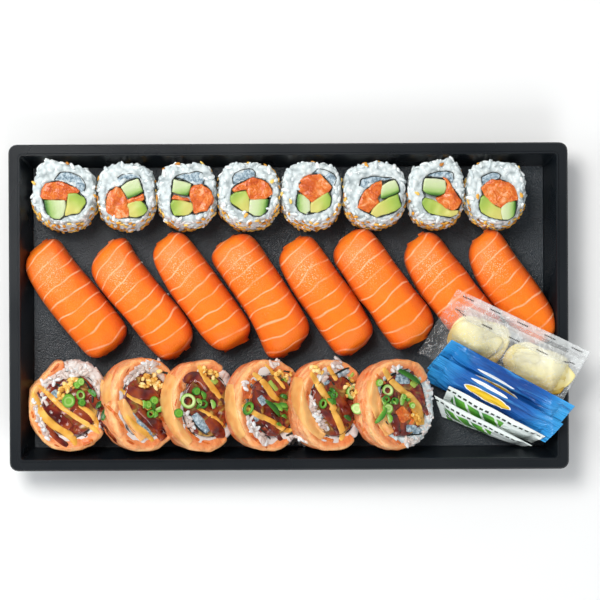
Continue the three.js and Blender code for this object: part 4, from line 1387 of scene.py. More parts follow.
MAYONNAISE = rows_in("""
3.8: -128.7 -41.3, -126.6 -45.7, -124.9 -50.2, -122.2 -54.6, -118.9 -57.9, -115 -60.7, -110.6 -62.9,
    -107.3 -65.7, -106.7 -69;
2.7: -125.4 -38.5, -121 -42.4, -117.2 -45.8, -114.4 -49.1, -110.5 -51.9, -106.7 -54.7, -102.3 -57.5,
    -97.9 -60.2, -94.5 -63.6, -91.2 -66.9, -87.4 -69.1;
2.6: -105 -48.6, -101.7 -50.8, -98.4 -53, -96.7 -56.4, -95.6 -60.2;
2.3: -84.5 -39.8, -81.2 -43.2, -76.8 -46, -72.3 -48.2, -67.9 -52.1, -64.6 -55.4;
3.1: -81.2 -53.1, -77.9 -58.1, -74.1 -61.2, -70.2 -63.7, -68 -67;
3.3: -45.1 -28.9, -42.9 -33.9, -39.6 -38.4, -36.9 -42.3, -34.1 -45.6;
2.2: -45.8 -50.2, -40.3 -52.9, -35.3 -56.1, -32 -60.5;
3.2: -18 -32.9, -13.6 -36.3, -9.8 -41.3, -7.6 -45.7, -4.8 -46.8;
2.4: -11.9 -28.5, -7.5 -33.6, -3.7 -38.5, -2 -41.3;
2.8: -23.1 -48.4, -19.2 -51.8, -13.2 -55.1, -8.2 -57.1, -4.9 -60.1, -0.5 -62.9, 1.2 -61.3;
3.3: 10.7 -32, 14 -38.1, 16.2 -42, 20.1 -47, 23.4 -51.4;
3.2: 20.4 -50.3, 23.7 -54.7, 26.2 -60.3, 27.2 -65.3, 25.3 -66.9;
2.9: 17.2 -25.9, 19.4 -29.8, 22.1 -33.7, 23.8 -37;
3.4: 47 -30.5, 49.8 -36, 53.6 -39.9, 58 -43.3, 62.5 -47.2, 66.3 -51.6;
5.4: 59 -43.8, 63 -48.6, 65.2 -54, 65.8 -59.6
""")
SMEARS = rows_in("""
5.6: -130.4 -46.3, -129.3 -41.3, -126 -38; 5: -89.4 -32.7, -92.6 -38, -92.4 -43, -89.4 -46.7;
5: -83.4 -45.7, -81 -52, -78.4 -57.7, -72.4 -65.7;
5.5: -58.4 -33.7, -62 -42.7, -61.4 -52.7, -55.4 -61.7, -49.4 -68;
5: -29.3 -38.4, -29.9 -45, -29 -51, -27.3 -58.6, -23 -65;
5.6: 4.6 -35.1, 4.2 -42, 4.6 -48.7, 9.7 -58.2, 17.2 -65;
6: 39.5 -29.2, 41 -36.7, 41.8 -46.1, 45.4 -55.4, 50.2 -63.8
""")
RED_FILLING = rows_in("""
3.3: -107.8 -54.7, -105 -53; 3.9: -103.4 -68, -97.9 -67.4, -94.6 -68.6;
1.2: -129.9 -46.8, -128.3 -52.9, -126.6 -58.4, -123.9 -64, -120 -67.3, -114.5 -69.6;
1.7: -124.9 -35.8, -120.4 -33.6, -116.5 -30.3, -114.9 -27.5;
1.9: -92.3 -48.1, -86.7 -50.9, -84 -55.3, -82.4 -59.8; 1.3: -81.1 -32.7, -79.4 -29.3, -76.7 -27.1;
2.2: -64.1 -54.9, -60.8 -58.2; 1.4: -81.3 -65.8, -76.9 -68.6, -74.1 -69.2;
1.1: -80 -29.9, -76.7 -26.6, -71.1 -25, -65.6 -25.5, -60.1 -27.2, -55.1 -26.1;
3.9: -52.4 -36.1, -53.5 -40, -52.4 -41.6; 1.1: -55.2 -44.4, -56.3 -48.3, -56.9 -51.6;
1.3: -53.6 -55.5, -50.3 -61, -48.1 -64.3, -45.3 -66.6, -39.2 -68.3;
4.7: -21.9 -38.5, -20.3 -42.3, -20.3 -45.7; 3.3: -18.6 -36.3, -17 -37.9;
1.4: -18.6 -32.9, -20.3 -35.7, -22.5 -40.1, -23.1 -47.3;
1.4: -22.6 -56.7, -20.4 -62.3, -16 -67.3, -11 -70.6; 1.2: -10.3 -27.5, -4.7 -27.5, 1.9 -28.6, 7.4 -28.1;
1.4: 9.9 -37.5, 8.7 -44.7, 9.2 -53.5; 1.9: 10.6 -61.3, 16.1 -65.8, 22.2 -66.9; 1.4: 31.6 -27.6, 34.3 -28.8;
2.2: 42.6 -33.2, 45.4 -35.5, 47.6 -38.8; 6.1: 54.7 -51, 58 -55.4, 59.1 -57.1; 2.2: 62.4 -56.6, 60.2 -59.3;
1.4: 41.4 -47.1, 40.8 -53.1, 42.5 -57, 45.2 -60.9; 3.3: 32.5 -57, 36.9 -62.5;
1.3: 46.5 -26.6, 53.7 -27.5, 61.4 -27.2, 66.4 -28.4; 2: 67.5 -28.9, 68.1 -31.1; 1.7: 53.5 -67, 55.7 -68.7
""")
GREEN_FILLING = rows_in("""
3.6: -38.5 -35.6, -35.8 -37.8; 2.2: -32.4 -32.9, -29.7 -34; 2.6: -9.8 -36.9, -5.9 -41.9;
2.6: -3.1 -35.2, -0.9 -37.5; 2.2: 29.9 -36.5, 32.6 -33.2; 4.7: 61.4 -40, 64.7 -36.1
""")
# The short line of width 1.4 from -123.2 -45.2 is a pale streak put where the glaze shows a white highlight:
# a painted highlight.
PALE_RICE = rows_in("""
2.3: -127.1 -46.3, -126 -51.8, -123.8 -57.3, -121.7 -62.3, -120.6 -65.1;
3.4: -123.8 -38.5, -118.8 -36.1, -113.2 -32.8, -107.7 -32, -101 -32.6;
5: -98.8 -34.8, -96.1 -30.4, -91.1 -30.9; 3.9: -97.7 -37, -96.6 -38.7; 1.4: -123.2 -45.2, -120.5 -48;
3.1: -81.1 -37.1, -77.8 -33.8, -73.9 -30.5, -70 -28.3, -65.1 -27.7, -60.1 -28.3, -56.2 -28.3;
2.2: -51.9 -52.2, -50.2 -56.6, -47.5 -60.5; 3.3: -39 -26.2, -35.2 -26.8, -31.3 -28.5, -26.9 -29.6;
3.3: -33.7 -69.4, -30.4 -67.2; 3: -20.4 -54.5, -18.7 -60.1, -14.3 -64.5, -11 -68.4;
3.3: -0.5 -66.8, 3.4 -65.1, 8.3 -69.6; 2.8: -9.7 -28.6, -4.7 -28.6; 2.2: -21.9 -36.8, -22 -40.7;
2.4: 11 -44.7, 11.5 -49.7, 13.4 -54.1, 16.1 -58.6, 18.9 -61.3; 3.9: 16.3 -34.2, 18.5 -36.4;
4.4: 21.6 -29.8, 25.5 -28.2, 29.9 -27.6; 3.3: 28.6 -62.5, 33 -66.4; 4.4: 57.9 -68.2, 62.4 -67.9, 67.9 -67.1;
2.2: 50.9 -31.6, 55.9 -30.5
""")
# Strips of blue-grey rice on the slices: partly stained by seaweed and partly painted shade.
STAINED_RICE = rows_in("""
3.9: -117.7 -41.3, -115.5 -44.7; 2.7: -80.6 -49.3, -78.5 -53.7, -75.2 -57.6, -71.3 -60.9, -68 -64.8;
4.8: -47.5 -53.3, -43.6 -58.3, -40.3 -62.2; 4.2: -14.8 -44.6, -12 -48.5; 2.2: -13.6 -39.6, -11.4 -39.1;
2.2: 14.5 -53.6, 16.7 -55.8; 2.4: 17.3 -38.6, 20.1 -37; 3.3: 24.3 -34.3, 27.7 -33.7, 29.9 -31.5;
4.8: 53.1 -35.5, 58.1 -36.1, 58.1 -38.8; 4.4: 58.5 -61, 62.4 -61, 65.7 -63.2; 2.8: -18.1 -53.4, -15.4 -56.8
""")
SEAWEED_BITS = rows_in("""
0.8: -118.2 -38, -113.8 -37.5, -114.4 -40.8, -112.7 -42.5;
1: -111.6 -35.3, -106.6 -33.6, -102.7 -35.9, -99.4 -39.8, -97.8 -44.2, -98.3 -47.5;
0.7: -77.8 -37.9, -76.7 -35.4, -73.9 -33.8; 1.3: -65.1 -32.2, -60.7 -33;
0.7: -50.2 -51.1, -48.9 -54.9, -46.4 -59.9, -42.5 -63.3, -37.8 -64.7; 0.7: -18.4 -54, -16.8 -56.7;
0.7: -16.8 -59.5, -13.7 -60.6, -9.3 -66.2; 0.8: -8.6 -31.9, -5.3 -31.3; 0.8: -2.5 -32.2, 1.9 -33;
1.2: -13.1 -34.6, -10.9 -35.7; 0.9: 12.8 -53.6, 15.1 -54.7, 17.8 -58; 1.4: -1.6 -64.6, 1.7 -63.5;
0.8: 23.2 -33.7, 27.1 -31.5, 31 -30.4; 1.3: 20.5 -36.4, 22.7 -39.2; 0.8: 50.3 -34.7, 54.8 -32.5, 59.8 -31.4;
0.8: 48 -57.1, 50.8 -60.9; 0.8: 56.8 -64, 62.4 -65.1, 67.1 -63.5
""")

on_slices = food_under(slice_parts)
for name, lines, press, sink, finish, slot in (
    ("red_filling", RED_FILLING, 0.3, 0.1, chunk_finish, "salmon"),
    ("green_filling", GREEN_FILLING, 0.5, 0.1, avocado_finish, "avocado"),
    ("stained_rice", STAINED_RICE, 0.45, 0.1, lap_rice, "sushi_rice"),
    ("rice_streaks", PALE_RICE, 0.35, 0.1, sauced_rice, "sushi_rice"),
    ("soy_glaze", EEL_SAUCE, 0.45, 0.2, glaze_finish, "eel_sauce"),
    ("mayonnaise_smears", SMEARS, 0.32, 0.0, thin_mayo, "mayonnaise"),
):
    laid = pour(lines, press, on_slices, 900 + len(slice_parts), sink)
    set_values(laid, "rind", 0.8)
    set_values(laid, "tint", 0.5)
    slice_parts.append(finish_piece(laid, name, finish, slice_nodes))

streaks_found = places_on(bpy.data.objects["rice_streaks"], 9000, 1.6, 41, lambda p, d: d[:, 2] > 0.3)
lay_copies(
    "streak_grains", grain, streaks_found, 9, sauced_rice, slice_nodes, lift=-0.4, lean=0.4
)
over_glaze = food_under(slice_parts)
mayo = pour(MAYONNAISE, 0.6, over_glaze, 930, swell=1.0)
finish_piece(mayo, "mayonnaise", mayo_finish, slice_nodes)
bits = pour(SEAWEED_BITS, 0.8, over_glaze, 960, sink=0.2, voxel=0.22, soft=2)
finish_piece(bits, "seaweed_bits", nori_finish, slice_nodes)
on_sauce = food_under(slice_parts + [mayo])

# %% [markdown]
# ## Spring onion and crumbs
# Spring onion is cut across into discs and rings, and its leaves into slivers. A disc is a
# short cylinder with beveled edges, a ring is a spun tube pressed flat, and a sliver is a
# narrow strip that is bent. Crumbs are balls of batter with a broken surface.

# %% Places of the toppings
# Discs and rings are a place, a radius and a shade, slivers a place, a length and a turn in
# degrees, and clusters of crumbs a place and how far they spread.
ONION_DISCS = [
    (-110.5, -46.3, 3.6, 0.75), (-106.2, -38.6, 1.9, 0.72), (-104.3, -37.1, 1.9, 0.78),
    (-103.9, -47.2, 2.1, 0.5), (-55.2, -52.4, 2.4, 0.62), (-46.6, -41.8, 2.1, 0.55),
    (-67.9, -46.5, 2.4, 0.7), (-70.7, -48.7, 2, 0.72), (44.5, -37.9, 1.9, 0.85), (48.6, -51, 2.8, 0.85),
    (34.2, -50.9, 3, 0.95), (61.3, -49.4, 1.6, 0.85), (56.7, -45.2, 1.3, 0.75), (-3.7, -36.3, 0.6, 0.2),
]
ONION_RINGS = [
    (-104.4, -43.7, 2.7, 0.7), (-50.2, -46.6, 4, 0.95), (-43, -48.3, 2.6, 0.35), (-69.3, -53.2, 2.4, 0.5),
    (-20.6, -50.4, 3.7, 0.5), (16.5, -48.2, 2.6, 0.6), (48.9, -41.8, 3.1, 0.9), (48.1, -46, 2.2, 0.4),
    (22.1, -44.2, 2.2, 0.45), (51.9, -47.1, 1.9, 0.35), (30.9, -43.1, 3.6, 0.95),
]
ONION_FLAKES = [
    (-98.3, -42.5, 5, 10), (-94.5, -48.1, 5, -45), (-92.3, -53.1, 6.1, -35), (-65.2, -51, 5, -50),
    (-72.3, -48.2, 3.9, 0), (-43, -43.6, 4.4, 25), (-38, -48.3, 4.4, 30), (-44.9, -46.7, 3.9, 60),
    (-45.2, -49.4, 3.3, -20), (-67.9, -49.3, 3.9, 20), (-66.8, -53.7, 3.3, -30), (-8.2, -50.1, 11.1, 47),
    (-3.7, -49.1, 5.6, 75), (-5.9, -49.6, 6.1, 60), (-1.5, -50.7, 3.9, 80), (-5.4, -58.5, 3.3, 70),
    (-2.7, -54.6, 3.3, 60), (-2.6, -44.6, 3.9, 80), (20.6, -47, 3.9, 30), (21.2, -43.6, 4.4, 50),
    (21.5, -41.4, 3.3, 60), (22.1, -47, 3.9, 40), (29.2, -55.3, 4.4, 75), (45.8, -54.3, 9.4, -8),
    (49.7, -55.4, 5, 20), (47, -47.1, 3.9, 20), (51.4, -47.7, 3.3, 80), (56.4, -46.6, 5.6, -12),
    (53.6, -47.1, 3.3, 30), (59.1, -46.6, 2.8, -20), (59.2, -34.4, 15, 62),
]
CRUMBS = [
    (-109.9, -38, 3.3), (-107.7, -36.4, 2.2), (-111.6, -40.3, 2.2), (-70.6, -34.9, 3.3),
    (-65.6, -35.5, 3.9), (-71.2, -38.2, 2.8), (-67.3, -38.8, 2.8), (-41.3, -32.3, 3.3), (-37.4, -33.4, 2.8),
    (-1.4, -34.1, 2.2), (-4.8, -33, 1.7), (14.1, -31.4, 3.3), (29.8, -39.8, 2.8), (31.5, -43.7, 2.8),
    (63.5, -56, 2.8), (-114.4, -44.1, 1.7),
]


# %% Discs, rings and slivers of spring onion
def tilt_on(tree, x, y):
    """The height and the slope of the food at a place, as a point and a direction."""
    hit, normal, _, _ = tree.ray_cast(Vector((x, y, 80)), Vector((0, 0, -1)))
    if hit is None:
        return Vector((x, y, FLOOR_TOP)), Vector((0, 0, 1))
    normal = normal if normal.z > 0 else -normal
    return hit, (normal * 0.5 + Vector((0.25, 0, 0.75))).normalized()


def lay_topping(piece, x, y, tree, turn=0.0, lift=0.4):
    """Turns a topping and lays it on the food, along its slope."""
    place, up = tilt_on(tree, x, y)
    turned = up.to_track_quat("Z", "Y").to_matrix().to_4x4() @ Matrix.Rotation(math.radians(turn), 4, "Z")
    piece.data.transform(Matrix.Translation((place + up * lift) * MM) @ turned)


def add_onion_disc(radius, shade, seed):
    disc = new_piece("cylinder", vertices=20, radius=radius * MM, depth=2.4 * MM)
    with edit_mode(disc):
        bpy.ops.mesh.select_all(action="DESELECT")
        bpy.ops.mesh.select_mode(type="FACE")
    for face in disc.data.polygons:
        face.select = abs(face.normal.z) > 0.9
    bpy.ops.object.mode_set(mode="EDIT")
    bpy.ops.mesh.inset(thickness=0.28 * radius * MM)
    bpy.ops.mesh.inset(thickness=0.2 * radius * MM)
    bpy.ops.object.mode_set(mode="OBJECT")
    modify(disc, "SUBSURF", levels=2, render_levels=2)
    points = points_of(disc)
    far = np.hypot(points[:, 0], points[:, 1]) / radius
    edge = np.clip((far - 0.7) / 0.3, 0, 1)
    set_values(disc, "tint", np.clip(shade - 0.25 * edge + 0.08 * np.sin(far * 14), 0, 1))
    roughen(disc, 0.2, 6, seed)
    return disc


def add_onion_ring(radius, shade, seed):
    wall = min(0.9, 0.26 * radius)
    ring = new_piece(
        "torus", major_segments=28, minor_segments=8,
        major_radius=(radius - wall) * MM, minor_radius=wall * MM,
    )
    squeeze = np.random.default_rng(seed).uniform(0.7, 0.95)

    def flatten(points):
        points[:, 1] *= squeeze
        points[:, 2] = points[:, 2] * 1.3 + 0.4 * ripple(points, 8, seed)
        return points

    move_points(ring, flatten)
    points = points_of(ring)
    inside = radius - wall - np.hypot(points[:, 0], points[:, 1] / squeeze)
    set_values(ring, "tint", np.clip(shade + 0.3 * inside, 0, 1))
    return ring


def add_onion_sliver(length, shade, seed):
    sliver = new_piece("cube", size=1)
    with edit_mode(sliver):
        size = (length * MM, min(2.6, 0.35 + 0.45 * length) * MM, 0.7 * MM)
        bpy.ops.transform.resize(value=size, center_override=(0, 0, 0))
        bpy.ops.mesh.subdivide(number_cuts=5)

    def curl(points):
        share = points[:, 0] / (length / 2)
        points[:, 1] = points[:, 1] * (1 - 0.6 * share**2) + 0.5 * share**2
        points[:, 2] += 0.6 * np.sin(share * 2 + seed) + 0.15 * points[:, 1] ** 2
        return points

    move_points(sliver, curl)
    set_values(sliver, "tint", np.clip(shade + 0.15 * points_of(sliver)[:, 1], 0, 1))
    return sliver


rng = np.random.default_rng(60)
onion_parts = []
for make, seed, lift, rows in (
    (add_onion_disc, 20, 0.8, [(*row, 0) for row in ONION_DISCS]),
    (add_onion_ring, 40, 0.7, [(*row, 37 * i) for i, row in enumerate(ONION_RINGS)]),
    (add_onion_sliver, 60, 0.8, [(*row[:3], rng.uniform(0.15, 0.75), row[3]) for row in ONION_FLAKES]),
):
    for i, (x, y, size, shade, turn) in enumerate(rows):
        piece = make(size, shade, seed + i)
        lay_topping(piece, x, y, on_sauce, turn, lift)
        onion_parts.append(piece)
onion = join(onion_parts)
move_points(onion, press_into_tray)
finish_piece(onion, "spring_onion", onion_finish, slice_nodes)

# %% Tempura crumbs
crumb = new_piece("ico_sphere", subdivisions=2, radius=1.1 * MM)
move_points(crumb, lambda p: p * (1 + 0.35 * ripple(p, 1.6, 3))[:, None])
crumb_places, rng = [], np.random.default_rng(70)
for x, y, spread in CRUMBS:
    for _ in range(7):
        px, py = x + rng.normal(scale=spread * 0.5), y + rng.normal(scale=spread * 0.4)
        crumb_places.append((px, py, height_at(on_sauce, px, py) + 0.5))
crumb_up = np.tile([0.0, 0.0, 1.0], (len(crumb_places), 1))
lay_copies(
    "tempura_crumbs", crumb, (np.array(crumb_places), crumb_up), 10, crumb_finish,
    slice_nodes, lean=1.0, vary=0.4,
)

# %% [markdown]
# ## The sachets
# A sachet is two films that are sealed all round. Each starts as a flat grid that is extruded
# into two skins. A rule then spans them between the sachet's four corners, lets them bend over
# whatever lies below, and blows them apart where the filling is. Where a film is sealed it has
# fine crimps, and its cut ends are toothed.

# %% Places of the sachets
# Corners in order round the face: far left, far right, near right, near left. Then how thick
# the filled bag is, how wide its seals are at the ends and sides, and the height at which it
# passes the tray's rim.
SACHET_ROWS = """
ginger_sachet: 84 8.6 25, 151 -23.4 24, 133.5 -54 12, 64.6 -23.4 9: 8.6 7 7 21;
soy_sachet_1: 81.2 -16.6 25.4, 142.8 -50.4 25.5, 130.6 -64.6 8, 69.4 -31.6 4.5: 4 6 1 23.6;
soy_sachet_2: 75.4 -24.4 22, 136.9 -59.2 25, 128 -68.6 8, 67.6 -37 3.4: 4 6 1 25.4;
wasabi_sachet_1: 80.2 -39.8 15.8, 128.2 -65.4 22.8, 122.6 -69.4 5, 76.8 -49.6 2.6: 3.2 5 1 0;
wasabi_sachet_2: 72.8 -44.8 13.5, 122 -70.2 17, 117.6 -70.9 3.2, 77.2 -56 2.6: 3.2 5 1 0
"""
SACHETS = {}
for row in SACHET_ROWS.split(";"):
    name, corners, sizes = row.split(":")
    SACHETS[name.strip()] = dict(zip(("thickness", "end", "side", "rim"), map(float, sizes.split())))
    SACHETS[name.strip()]["corners"] = points_in(corners)
FILM = 0.5
FILLING_RUN = 12
UPPER_SHARE = 0.66
RIM_START = 134.1 - 3
LATTICE_U, LATTICE_V = np.linspace(0, 1, 61), np.linspace(0, 1, 31)


# %% How a sachet rests and how full it is
def across_corners(sachet, u, v):
    a, b, c, d = (np.array(corner, float) for corner in sachet["corners"])
    u, v = u[:, None], v[:, None]
    return (a * (1 - u) + b * u) * (1 - v) + (d * (1 - u) + c * u) * v


def filling_at(sachet, u, v):
    """The filling's thickness in millimetres: none along the seals, most in the middle."""
    a, b, _, d = (Vector(corner) for corner in sachet["corners"])
    from_end = np.minimum(u, 1 - u) * (a - b).length - sachet["end"]
    from_side = np.minimum(v, 1 - v) * (a - d).length - sachet["side"]
    half = (a - d).length / 2 - sachet["side"]
    along, across = np.clip(from_end / FILLING_RUN, 0, 1), np.clip(from_side / half, 0, 1)
    return sachet["thickness"] * np.sqrt(1 - (1 - along) ** 2) * np.sqrt(1 - (1 - across) ** 2)


def rest_heights(sachet, below):
    """The middle surface's heights on a lattice: it never dips under what carries it."""
    u, v = (part.ravel() for part in np.meshgrid(LATTICE_U, LATTICE_V, indexing="ij"))
    middle = across_corners(sachet, u, v)
    under = FILM / 2 + (1 - UPPER_SHARE) * filling_at(sachet, u, v)
    rim = sachet["rim"] - 1.5 * np.maximum(0, RIM_START - middle[:, 0])
    food = np.array([height_at(below, x, y, 0.0) for x, y in middle[:, :2]]) + 0.35
    needed = np.maximum.reduce([middle[:, 2], rim + under, food + under])
    needed = needed.reshape(len(LATTICE_U), len(LATTICE_V))
    heights = needed.copy()
    for _ in range(10):
        wide = np.pad(heights, 1, mode="edge")
        mean = (wide[2:, 1:-1] + wide[:-2, 1:-1] + wide[1:-1, 2:] + wide[1:-1, :-2]) / 4
        heights = np.maximum(needed, mean)
    return heights


def read_lattice(heights, u, v):
    """The heights between the lattice's points."""
    i = np.clip(u * (len(LATTICE_U) - 1), 0, len(LATTICE_U) - 1.001)
    j = np.clip(v * (len(LATTICE_V) - 1), 0, len(LATTICE_V) - 1.001)
    i0, j0 = i.astype(int), j.astype(int)
    p, q = i - i0, j - j0
    near = heights[i0, j0] * (1 - p) + heights[i0 + 1, j0] * p
    far = heights[i0, j0 + 1] * (1 - p) + heights[i0 + 1, j0 + 1] * p
    return near * (1 - q) + far * q


# %% Two skins from one grid
def add_sachet(sachet, below, seed, creases=0.4, teeth=0.3, shift=0.0):
    """A sealed bag, whose map called print counts millimetres from its far left corner."""
    a, b, _, d = (Vector(corner) for corner in sachet["corners"])
    length, width = (a - b).length, (a - d).length
    face_up = np.array((d - a).cross(b - a).normalized())
    heights = rest_heights(sachet, below)
    bag = new_piece("grid", x_subdivisions=120, y_subdivisions=56, size=2)
    with edit_mode(bag):
        extrude(1)
    flat = points_of(bag)
    u, v = (flat[:, 0] * MM + 1) / 2, (1 - flat[:, 1] * MM) / 2
    upper = flat[:, 2] > 0.5

    def shape(points):
        edge = np.minimum(np.minimum(u, 1 - u) * length, np.minimum(v, 1 - v) * width)
        sealed = np.clip(1 - (np.minimum(u, 1 - u) * length) / sachet["end"], 0, 1)
        at = np.column_stack([u * length, v * width, np.zeros(len(u))])
        middle = across_corners(sachet, u, v)
        middle[:, 2] = read_lattice(heights, u, v)
        fill = filling_at(sachet, u, v)
        stretched = at * [0.3, 1, 1]
        folds = 1 - np.abs(ripple(stretched + 0.8 * ripple(at, 11, seed + 2)[:, None], 6, seed + 1))
        wave = creases * (0.7 * ripple(at, 14, seed) + 1.1 * np.clip(folds, 0, 1) ** 3)
        crimp = 0.16 * np.sin(v * width * 2 * np.pi / 1.5) * np.clip(sealed * 4, 0, 1)
        reach = np.where(upper, UPPER_SHARE, UPPER_SHARE - 1) * fill + wave * (0.4 + fill / 6) + crimp
        film = np.where(upper, 0.5, -0.5) * FILM * np.clip(edge / 0.6, 0, 1)
        toothed = teeth * (2 * np.abs((v * width / 1.4) % 1 - 0.5)) * (sealed > 0.999)
        inward = np.where(u < 0.5, 1, -1) * toothed
        along = (np.array(b - a) / length)[None] * inward[:, None]
        return middle + (reach + film)[:, None] * face_up + along

    move_points(bag, shape)
    with edit_mode(bag):
        face_outward()
    set_map(bag, "print", u * length, v * width + shift)
    return bag


def read_print(material):
    """The map of a sachet's print, and its millimetres along and across."""
    places = add_node(material, "UVMap", uv_map="print")
    return places, *(add_node(material, "SeparateXYZ", (places,), output=axis) for axis in "XY")


def add_creases(material, print_map, stretch, scale, detail, distortion, strength, depth):
    """Creases that run along a sachet. They are bumps, and are given back so that a painted highlight and
    painted shade can follow them.
    """
    drawn = add_node(material, "Mapping", {"Vector": print_map, "Scale": (stretch, 1, 1)})
    inputs = {"Vector": drawn, "Scale": scale, "Detail": detail, "Distortion": distortion}
    creased = add_node(material, "TexNoise", inputs)
    add_node(material, "Bump", {"Height": creased, "Strength": strength, "Distance": depth * MM}, to="Normal")
    return creased


# %% Clear printed film of the ginger bag
# Cast polypropylene film, clear and glossy, with a white haze printed in bands along its far
# seal. Its alpha says how much of the food shows through; each skin counts once.
clear_film = new_material("clear_polypropylene_film", 0.14, 1.49, base="#f1f4f4")
add = partial(add_node, clear_film)
print_map, along, across = read_print(clear_film)
across_share = add("Math", (across, 40.0), operation="DIVIDE")
haze_bands = [
    (0.0, 0.42), (0.09, 0.38), (0.1, 0.2), (0.15, 0.2), (0.16, 0.5), (0.27, 0.44), (0.3, 0.2), (1.0, 0.13),
]
band = add("ValToRGB", (across_share,), haze_bands)
inner = add("MapRange", (along, 6.0, 12.0, 0.25, 1.0))
haze = add("Math", (band, inner), operation="MULTIPLY")
# small dark marks in rows, where such a film tells its buyer to tear
dash = add("Math", (along, 1 / 15), operation="MULTIPLY")
dash = add("Math", (dash,), operation="FRACT")
dash = add("Math", (dash, 0.5, 0.2), operation="COMPARE")
rows = add("Math", (across, 6.2), operation="PINGPONG")
rows = add("Math", (rows, 2.2, 0.32), operation="COMPARE")
far_part = add("Math", (across, 11.0), operation="LESS_THAN")
broken = add("Math", (along, 0.45), operation="PINGPONG")
broken = add("Math", (broken, 0.12), operation="GREATER_THAN")
marks = dash
for mask in (rows, far_part, broken):
    marks = add("Math", (marks, mask), operation="MULTIPLY")
add("MixRGB", (marks, "#f1f4f4", "#2a2422"), to="Base Color")
alpha = add("Math", (marks, 0.6, haze), operation="MULTIPLY_ADD")
wrinkled = add("TexNoise", {"Vector": print_map, "Scale": 1 / 5.0, "Detail": 4.0, "Distortion": 1.5})
# a fold turns the film edge on, so it shows as a fine white line
fold = add("Math", (wrinkled, 0.5, 0.008), operation="COMPARE")
add("Math", (fold, 0.35, alpha), operation="MULTIPLY_ADD", to="Alpha")
add("Bump", {"Height": wrinkled, "Strength": 1.0, "Distance": 2.5 * MM}, to="Normal")

# Pickled ginger: thin slices in vinegar, cream in the middle and olive-yellow at the edges.
ginger_finish = food_finish(
    "pickled_ginger", 0.25, 1.38, "tint", [(0.0, "#f9f0c0"), (0.45, "#f1de8e"), (1.0, "#b28a22")],
    bumps=(0.3, 0.3, 1.5, 2), through=(0.3, (1.0, 0.9, 0.5), 2),
)

# %% The ginger bag and its slices
nigiri_slices = [bpy.data.objects[f"nigiri_salmon_{i}"] for i in (6, 7, 8)]
nigiri_tops = food_under(nigiri_slices)
bag = SACHETS["ginger_sachet"]
bag_heights = rest_heights(bag, nigiri_tops)


def add_ginger_slice(middle_u, middle_v, half_along, half_across, lift, seed):
    """One thin slice that lies in the bag, at a height above the bag's lower skin."""
    rng = np.random.default_rng(seed)
    piece = new_piece("grid", x_subdivisions=18, y_subdivisions=14, size=2)
    spin = rng.uniform(-0.5, 0.5)
    squares = points_of(piece)[:, :2] * MM
    x = squares[:, 0] * (1 - 0.22 * squares[:, 1] ** 2) * (1 - 0.1 * squares[:, 1])
    y = squares[:, 1] * (1 - 0.22 * squares[:, 0] ** 2) * (1 + 0.15 * squares[:, 0])
    far = np.abs(squares).max(axis=1)

    def lie(points):
        px = x * math.cos(spin) - y * math.sin(spin)
        py = x * math.sin(spin) + y * math.cos(spin)
        u, v = middle_u + px * half_along / 74, middle_v + py * half_across / 40
        place = across_corners(bag, u, v)
        fill = filling_at(bag, u, v)
        floor_z = read_lattice(bag_heights, u, v) - (1 - UPPER_SHARE) * fill
        at = np.column_stack([px * half_along, py * half_across, np.full(len(px), lift)])
        fold = 1.3 * ripple(at, 15, seed) + 0.3 * ripple(at, 6, seed + 1)
        room = np.maximum(fill - 0.9, 0.4)
        place[:, 2] = floor_z + room * np.tanh(np.maximum(lift + fold - 2.2 * far**5, 0.3) / room)
        return place

    move_points(piece, lie)
    # vinegar gathers on the bag's low side and tints the slices there
    low = np.clip((middle_v + y * half_across / 40 - 0.4) * 3.2, 0, 1)
    set_values(piece, "tint", np.clip(0.3 * far**4 + 0.7 * low + rng.uniform(-0.1, 0.1), 0, 1))
    thicken(piece, 0.8)
    modify(piece, "SUBSURF", levels=1, render_levels=1)
    return piece


slices, rng = [], np.random.default_rng(31)
for middle_u, half in ((0.315, 13.5), (0.745, 16)):
    for layer in range(7):
        u, v = middle_u + rng.uniform(-0.045, 0.045), 0.53 + rng.uniform(-0.05, 0.05)
        grown = rng.uniform(0.88, 1.0) - 0.03 * abs(layer - 4)
        slices.append(add_ginger_slice(u, v, half * grown, 12.5 * grown, 0.6 + 1.0 * layer, 90 + len(slices)))
finish_piece(join(slices), "ginger_slices", ginger_finish, ["ginger_sachet"])
film = add_sachet(bag, nigiri_tops, 61, creases=0.5, teeth=0.5)
finish_piece(film, "ginger_film", clear_film, ["ginger_sachet"])
print("ginger slices:", len(slices))

# %% Printed film of the soy sauce sachets
# Polyester film laminated on aluminium, printed blue: paler and brighter at its crimped ends.
# Its print is a yellow oval in a white one, with a long thin white oval above it.
soy_film = new_material("printed_polyester_film", 0.25, 1.5, coat=(0.15, 0.1))
add = partial(add_node, soy_film)
print_map, along, across = read_print(soy_film)
from_centre = add("Math", (along, 35.0), operation="SUBTRACT")
from_centre = add("Math", (from_centre,), operation="ABSOLUTE")
position = add("TexCoord", output="Object")
cloud = add("TexNoise", {"Vector": position, "Scale": 1 / (14 * MM), "Detail": 2.0})
spread = add("Math", (cloud, 16.0, from_centre), operation="MULTIPLY_ADD")
field_share = add("MapRange", (spread, 16.0, 44.0, 0.0, 1.0))
ink = add("ValToRGB", (field_share,), [(0.0, "#124690"), (0.45, "#1c62b0"), (1.0, "#34a2e4")])
creased = add_creases(soy_film, print_map, 0.12, 1 / 2.6, 4.0, 1.0, 0.9, 1.8)
# the creases are painted lighter on one side and darker on the other: a painted highlight and painted shade
for start, end, tone in ((0.54, 0.72, "#4aa4e6"), (0.46, 0.3, "#0c2c6a")):
    share = add("MapRange", (creased, start, end, 0.0, 0.6))
    ink = add("MixRGB", (share, ink, tone))


